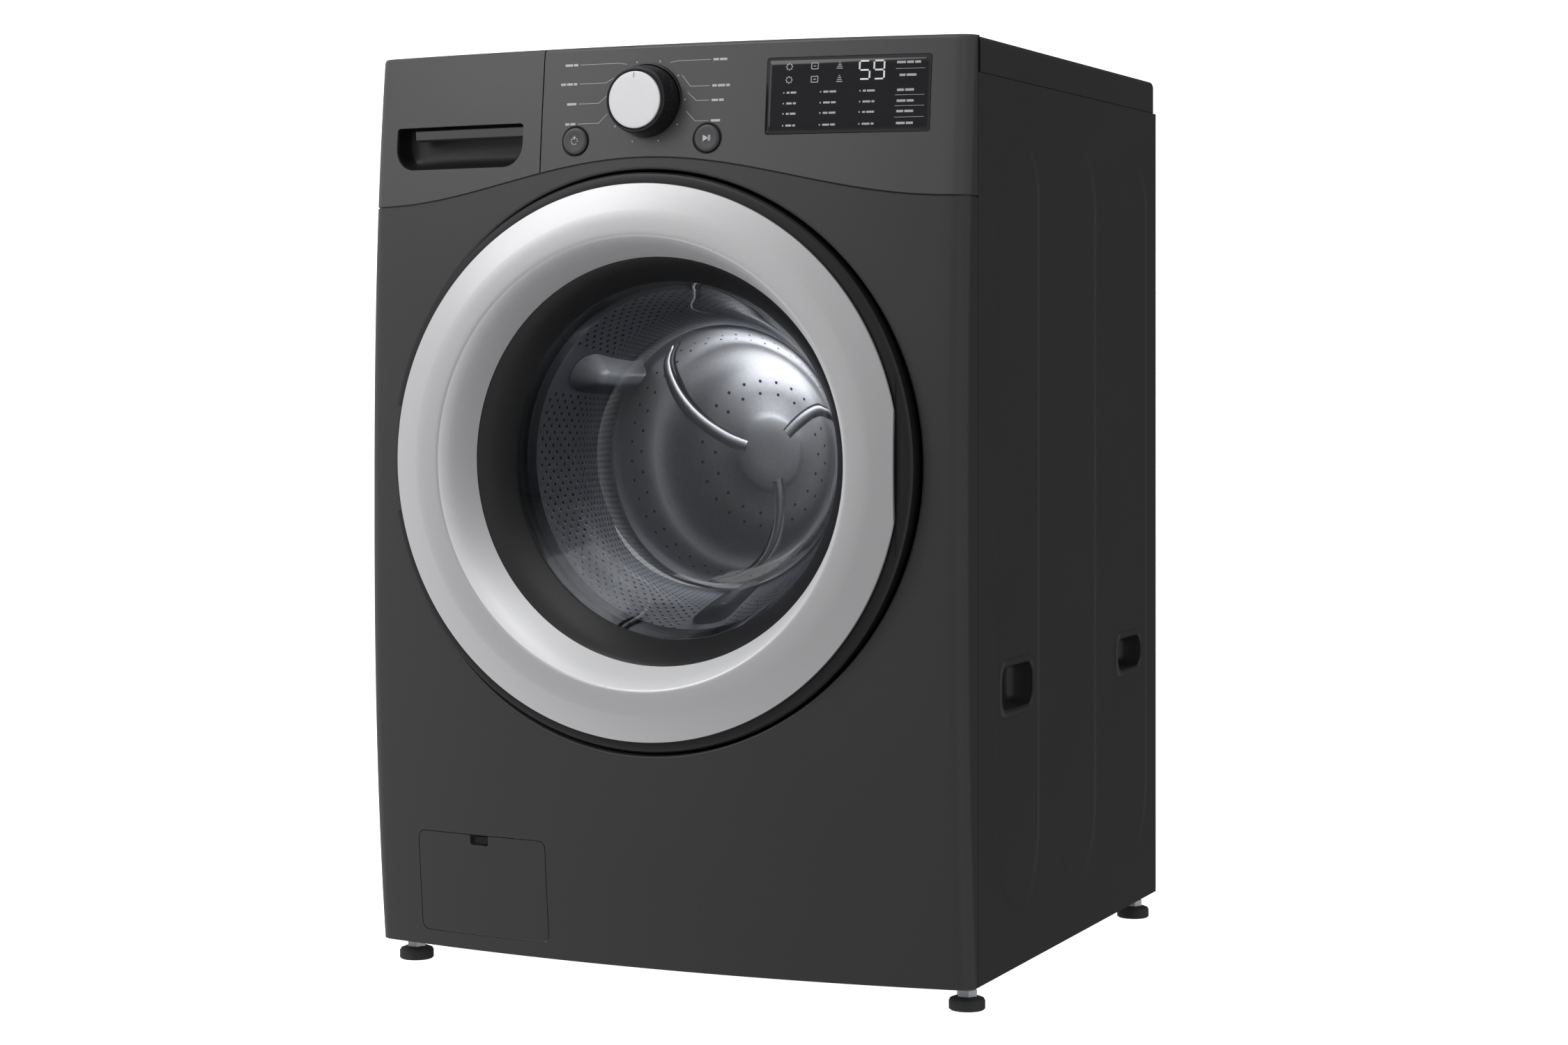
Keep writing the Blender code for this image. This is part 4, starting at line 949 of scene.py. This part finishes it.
def door_back():
    """The floor of the grip, and the door's rear frame with its screws, hinge notch and latch slot."""
    grip_outline = rounded((GRIP_X, 0.2972), (DOOR_Z - 0.0985, DOOR_Z + 0.0985), 0.01, 8)
    floor = [(x, z) for x, z in grip_outline if math.hypot(x, z - DOOR_Z) < 0.2962]
    soften(piece("door_grip_floor", prism(floor, "Y", (-0.35, -0.3488)), BLACK, "door"), 0.0004)

    back = [(0.2984, -0.3), (0.2984, -0.299), (0.2965, -0.292), (0.2925, -0.278), (0.2905, -0.274),
            (0.287, -0.2726), (0.212, -0.2725), (0.2075, -0.2712), (0.206, -0.269), (0.2052, -0.2668),
            (0.203, -0.2665), (0.1972, -0.2666), (0.1962, -0.2676), (0.1962, -0.2684), (0.1995, -0.2684),
            (0.1995, -0.2752), (0.288, -0.2752), (0.295, -0.3)]
    rear_frame = piece("door_rear_frame", turned(back, DOOR_CENTRE, segments=160), BLACK, "door", sharp=30)
    carve(rear_frame, block((-0.32, -0.27), (-0.4, -0.25), HINGE_Z))
    carve(rear_frame, block((0.256, 0.276), (-0.4, -0.25), (DOOR_Z - 0.014, DOOR_Z + 0.014)))
    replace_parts(rear_frame, "door_back_frame")
    for i in range(10):
        angle = math.tau * (i + 0.5) / 10
        spot = (0.248 * math.cos(angle), -0.2725, DOOR_Z + 0.248 * math.sin(angle))
        screw(f"door_screw_{i + 1}", spot, 1, 0.0042, "door")


def gasket():
    """The bellows between the bowl and the tub: folded rubber with a lip that meets the glass."""
    folds = [(0.2155, -0.263), (0.219, -0.26), (0.219, -0.254), (0.208, -0.25), (0.206, -0.248),
             (0.216, -0.244), (0.219, -0.242), (0.219, -0.23), (0.199, -0.23), (0.1975, -0.233),
             (0.199, -0.242), (0.1975, -0.246), (0.202, -0.249), (0.205, -0.253), (0.205, -0.258),
             (0.209, -0.262)]
    profile = curve_through(folds + folds[:1], 3)[:-1]
    bellows = piece("door_bellows", turned(profile, DOOR_CENTRE, segments=144), RUBBER, None, sharp=50)
    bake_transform(bellows)
    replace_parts(bellows, "door_gasket")


def drum_wall():
    """The perforated shell: real holes, pressed in staggered rows, left plain under each lifter."""
    bm = bmesh.new()
    around, rows, hole = 168, 52, 0.3
    step_y = (DRUM_REAR_Y - 0.004 - DRUM_FRONT_Y) / rows
    inner = DRUM_R - 0.0008

    def spot(i, j, radius):
        angle = math.tau * i / around
        return radius * math.cos(angle), DRUM_FRONT_Y + step_y * j, DOOR_Z + radius * math.sin(angle)

    grid = {(i, j): bm.verts.new(spot(i, j, inner)) for j in range(rows + 1) for i in range(around)}
    for j in range(rows):
        for i in range(around):
            corners = [grid[i, j], grid[(i + 1) % around, j], grid[(i + 1) % around, j + 1], grid[i, j + 1]]
            angle = 360 * (i + 0.5) / around
            under = any(abs((angle - at + 180) % 360 - 180) < 9 for at in LIFTER_ANGLES)
            if (i + j) % 2 or j in (0, 1, rows - 2, rows - 1) or (under and 4 < j < rows - 5):
                bm.faces.new(corners)
                continue
            ring = []
            for k in range(8):
                turn = math.tau * (k + 0.5) / 8 + math.pi
                u, v = hole * math.cos(turn), hole * math.sin(turn)
                ring.append(bm.verts.new(spot(i + 0.5 + u, j + 0.5 + v, inner + 0.0006)))
            for k, corner in enumerate(corners):
                a, b, c = ring[2 * k], ring[2 * k + 1], ring[(2 * k + 2) % 8]
                bm.faces.new((corner, b, a))
                bm.faces.new((corner, corners[(k + 1) % 4], c, b))
    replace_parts(piece("drum_wall", bm, STEEL, "drum", sharp=180, recalc=False), "drum_shell")


def drum_lip():
    """The rolled front edge of the drum, and a dark sleeve that shows through its holes."""
    lip = [(0.2693, -0.206), (0.269, -0.209), (0.266, -0.212), (0.245, -0.2122), (0.23, -0.2118),
           (0.2252, -0.209), (0.2248, -0.206), (0.2262, -0.205), (0.229, -0.2078), (0.245, -0.21),
           (0.264, -0.2098), (0.2668, -0.206)]
    piece("drum_front_lip", turned(lip, DOOR_CENTRE, segments=144), STEEL, "drum", sharp=40)
    front, rear_y = -0.205, DRUM_REAR_Y - 0.006
    sleeve = [(0.2702, front), (0.2708, front), (0.2708, rear_y), (0.2702, rear_y)]
    piece("drum_shadow_shell", turned(sleeve, DOOR_CENTRE, segments=96), BLACK, "drum")


def drum_rear():
    """The drum's pressed rear wall with three curved arms, a thin black strip of painted shade beside each
    arm, and rings of small holes.
    """
    face = [(0.0, 0.15), (0.04, 0.15), (0.052, 0.152), (0.1, 0.154), (0.125, 0.158), (0.15, 0.158),
            (0.172, 0.154), (0.215, 0.154), (0.24, 0.157), (0.26, 0.164), (0.2688, 0.1655)]
    wall = curve_through(face, 2) + [(0.2692, 0.17), (0.0, 0.17)]
    wall = turned(wall, DOOR_CENTRE, segments=144, closed=False)
    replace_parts(piece("drum_rear_wall", wall, STEEL, "drum", sharp=40), "drum_back")
    for at in (46, 166, 286):
        drum_arm(f"drum_arm_{at}", at, 0.0075, 0.1485, STEEL)
        # Beside each arm, a thin black strip paints the crease's shade.
        drum_arm(f"drum_crease_shade_{at}", at - 4.5, 0.0022, 0.1515, BLACK)
    # Each hole is a flat black disc: painted shade of the dark behind the wall.
    holes = bmesh.new()
    circles = ((0.075, 0.1526, 18), (0.092, 0.1526, 24), (0.182, 0.1534, 42), (0.2, 0.1534, 48))
    for radius, y, count in circles:
        for i in range(count):
            angle = math.tau * (i + 0.5 * (count % 4 == 0)) / count
            hole_rim(holes, radius * math.cos(angle), y, DOOR_Z + radius * math.sin(angle))
    piece("drum_rear_hole_shades", holes, BLACK, "drum", sharp=180, recalc=False)


def drum_arm(name, at, half, crest_y, look):
    """A curved rib pressed in the drum's rear wall, from its boss out to the rim; drawn in black, a thin
    strip of painted crease shade.
    """
    rings = []
    rise = [(-1.5, 0.16), (-1, crest_y + 0.0015), (-0.6, crest_y)]
    profile = rise + [(-side, y) for side, y in rise[::-1]]
    for i in range(25):
        reach = 0.034 + 0.2 * i / 24
        angle = math.radians(at - 34 * (i / 24) ** 1.3)
        ring = []
        for side, y in profile:
            turn = angle + side * half / reach
            ring.append((reach * math.cos(turn), y, DOOR_Z + reach * math.sin(turn)))
        rings.append(ring)
    piece(name, loft(rings), look, "drum", sharp=50)


def hole_rim(bm, x, y, z):
    """Adds one hole in the drum's rear wall, drawn as a flat black disc of painted shade."""
    rim = []
    for k in range(10):
        turn = math.tau * k / 10
        rim.append(bm.verts.new((x + 0.0022 * math.cos(turn), y, z + 0.0022 * math.sin(turn))))
    bm.faces.new(rim)


def lifters():
    """Three soft-edged paddles along the drum wall."""
    for number, at in enumerate(LIFTER_ANGLES, 1):
        angle = math.radians(at)
        out = (math.cos(angle), math.sin(angle))
        rings = []
        for lift, width, inset in PADDLE:
            ring = []
            for u, y in rounded((-width, width), (-0.15 + inset, 0.145 - inset), width * 0.9, 8):
                sink = math.sqrt(max(DRUM_R**2 - u * u, 0)) - 0.0022 - lift
                ring.append((out[0] * sink - out[1] * u, y, DOOR_Z + out[1] * sink + out[0] * u))
            rings.append(ring)
        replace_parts(piece(f"drum_paddle_{number}", loft(rings), LIFTER, "drum", sharp=50),
                    f"drum_lifter_{number}")


def feet():
    """Each levelling foot: a rubber pad, a hexagonal nut and a threaded stem."""
    pitch, start = 0.0015, 0.0205
    for node in ("foot_front_left", "foot_front_right", "foot_rear_left", "foot_rear_right"):
        low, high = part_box(node)
        x, y, _ = centre_of(node)
        body = node.replace("foot", "levelling")
        radius = (high[0] - low[0]) / 2
        pad = [(0.0, 0.0), (radius - 0.0014, 0.0), (radius, 0.0012), (radius, 0.009)]
        pad += [(radius - 0.0012, 0.0112), (radius - 0.006, 0.013), (0.0, 0.013)]
        pad = turned(pad, (x, y, 0), "Z", 48, closed=False)
        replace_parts(piece(f"{node}_pad", pad, FOOT_RUBBER, body, sharp=40), node)

        rings = []
        turns = [math.tau * k / 6 for k in range(6)]
        for z, reach in ((0.013, 0.01), (0.0136, 0.0108), (0.02, 0.0108), (0.0206, 0.01)):
            rings.append([(x + reach * math.cos(turn), y + reach * math.sin(turn), z) for turn in turns])
        piece(f"{node}_nut", loft(rings), ZINC, body, sharp=30)

        count = round((min(high[2], 0.06) - start) / pitch)
        thread = [(0.0, 0.02)]
        for k in range(count):
            thread += [(0.0042, start + pitch * k), (0.005, start + pitch * (k + 0.5))]
        thread += [(0.0042, start + pitch * count), (0.0, start + pitch * count)]
        stem = turned(thread, (x, y, 0), "Z", 24, closed=False)
        piece(f"{node}_thread", stem, CHROME, body, sharp=60)


# ---- the frame's own nodes
def dress_nodes():
    """Gives every node that is carried over from the frame its look."""
    for look, names in NODE_LOOKS:
        for name in names.split():
            node = bpy.data.objects[name]
            node.data.materials.clear()
            node.data.materials.append(look)


# ---- stage
def area(name, spot, aim, size, power):
    """A square lamp that points at a spot."""
    light = bpy.data.lights.new(name, "AREA")
    light.shape = "RECTANGLE"
    light.size = size
    light.size_y = size
    light.energy = power
    lamp = bpy.data.objects.new(name, light)
    bpy.context.scene.collection.objects.link(lamp)
    lamp.location = spot
    lamp.rotation_euler = (Vector(aim) - Vector(spot)).to_track_quat("-Z", "Y").to_euler()
    return lamp


def backdrop():
    """A white sheet under and behind the object, seen by the camera only."""
    sheet = bmesh.new()
    rows = []
    for y, z in ((-6, 0), (4, 0), (5, 0.15), (5.8, 0.6), (6.2, 1.4), (6.3, 6.0)):
        rows.append([sheet.verts.new((x, y, z - 0.0005)) for x in (-9, 9)])
    for a, b in zip(rows, rows[1:]):
        sheet.faces.new((a[0], a[1], b[1], b[0]))
    mesh = bpy.data.meshes.new("backdrop")
    sheet.to_mesh(mesh)
    mesh.materials.append(BACKDROP)
    floor = bpy.data.objects.new("backdrop", mesh)
    bpy.context.scene.collection.objects.link(floor)
    for ray in ("diffuse", "glossy", "transmission", "shadow"):
        setattr(floor, f"visible_{ray}", False)


def surround():
    """The studio: white to the camera, and greys from front to back to all other rays."""
    world = bpy.data.worlds.new("studio")
    bpy.context.scene.world = world
    world.use_nodes = True
    tree = world.node_tree
    seen, where, split = (add_node(tree, kind) for kind in ("LightPath", "TexCoord", "SeparateXYZ"))
    depth = add_node(tree, "MapRange", From_Min=-1.0)
    ramp, mix = add_node(tree, "ValToRGB"), add_node(tree, "MixShader")
    white = add_node(tree, "Background", Color=(1, 1, 1, 1))
    for place, level in SURROUND[1:-1]:
        ramp.color_ramp.elements.new(place)
    for element, (place, level) in zip(ramp.color_ramp.elements, SURROUND):
        element.position = place
        element.color = (level, level, level * 1.01, 1)
    grey = tree.nodes["Background"]
    for source, target in ((where.outputs["Generated"], split.inputs["Vector"]),
                           (split.outputs["Y"], depth.inputs["Value"]),
                           (depth.outputs["Result"], ramp.inputs["Fac"]),
                           (ramp.outputs["Color"], grey.inputs["Color"]),
                           (seen.outputs["Is Camera Ray"], mix.inputs["Fac"]),
                           (grey.outputs["Background"], mix.inputs[1]),
                           (white.outputs["Background"], mix.inputs[2]),
                           (mix.outputs["Shader"], tree.nodes["World Output"].inputs["Surface"])):
        tree.links.new(source, target)


def stage():
    """Backdrop, surround, lamps and camera."""
    backdrop()
    surround()
    bpy.context.scene.view_settings.view_transform = "Standard"
    for name, spot, aim, size, power, unseen in LAMPS:
        lamp = area(name, spot, aim, size, power)
        for ray in unseen:
            setattr(lamp, f"visible_{ray}", False)
    view = bpy.data.cameras.new("view")
    view.lens = 70.03
    view.sensor_width = 36
    view.shift_x = 0
    view.shift_y = -0.1092
    camera = bpy.data.objects.new("view", view)
    camera.location = (1.4111, -3.1484, 0.6653)
    camera.rotation_euler = (math.pi / 2, 0, 0.42004)
    bpy.context.scene.collection.objects.link(camera)
    bpy.context.scene.camera = camera


front_panel()
service_cover()
side_panels()
top_cover()
rear()
fascia()
fascia_marks()
window_marks()
knob()
buttons()
drawer()
door_ring()
door_carrier()
door_bowl()
door_back()
gasket()
drum_wall()
drum_lip()
drum_rear()
lifters()
feet()
dress_nodes()
stage()
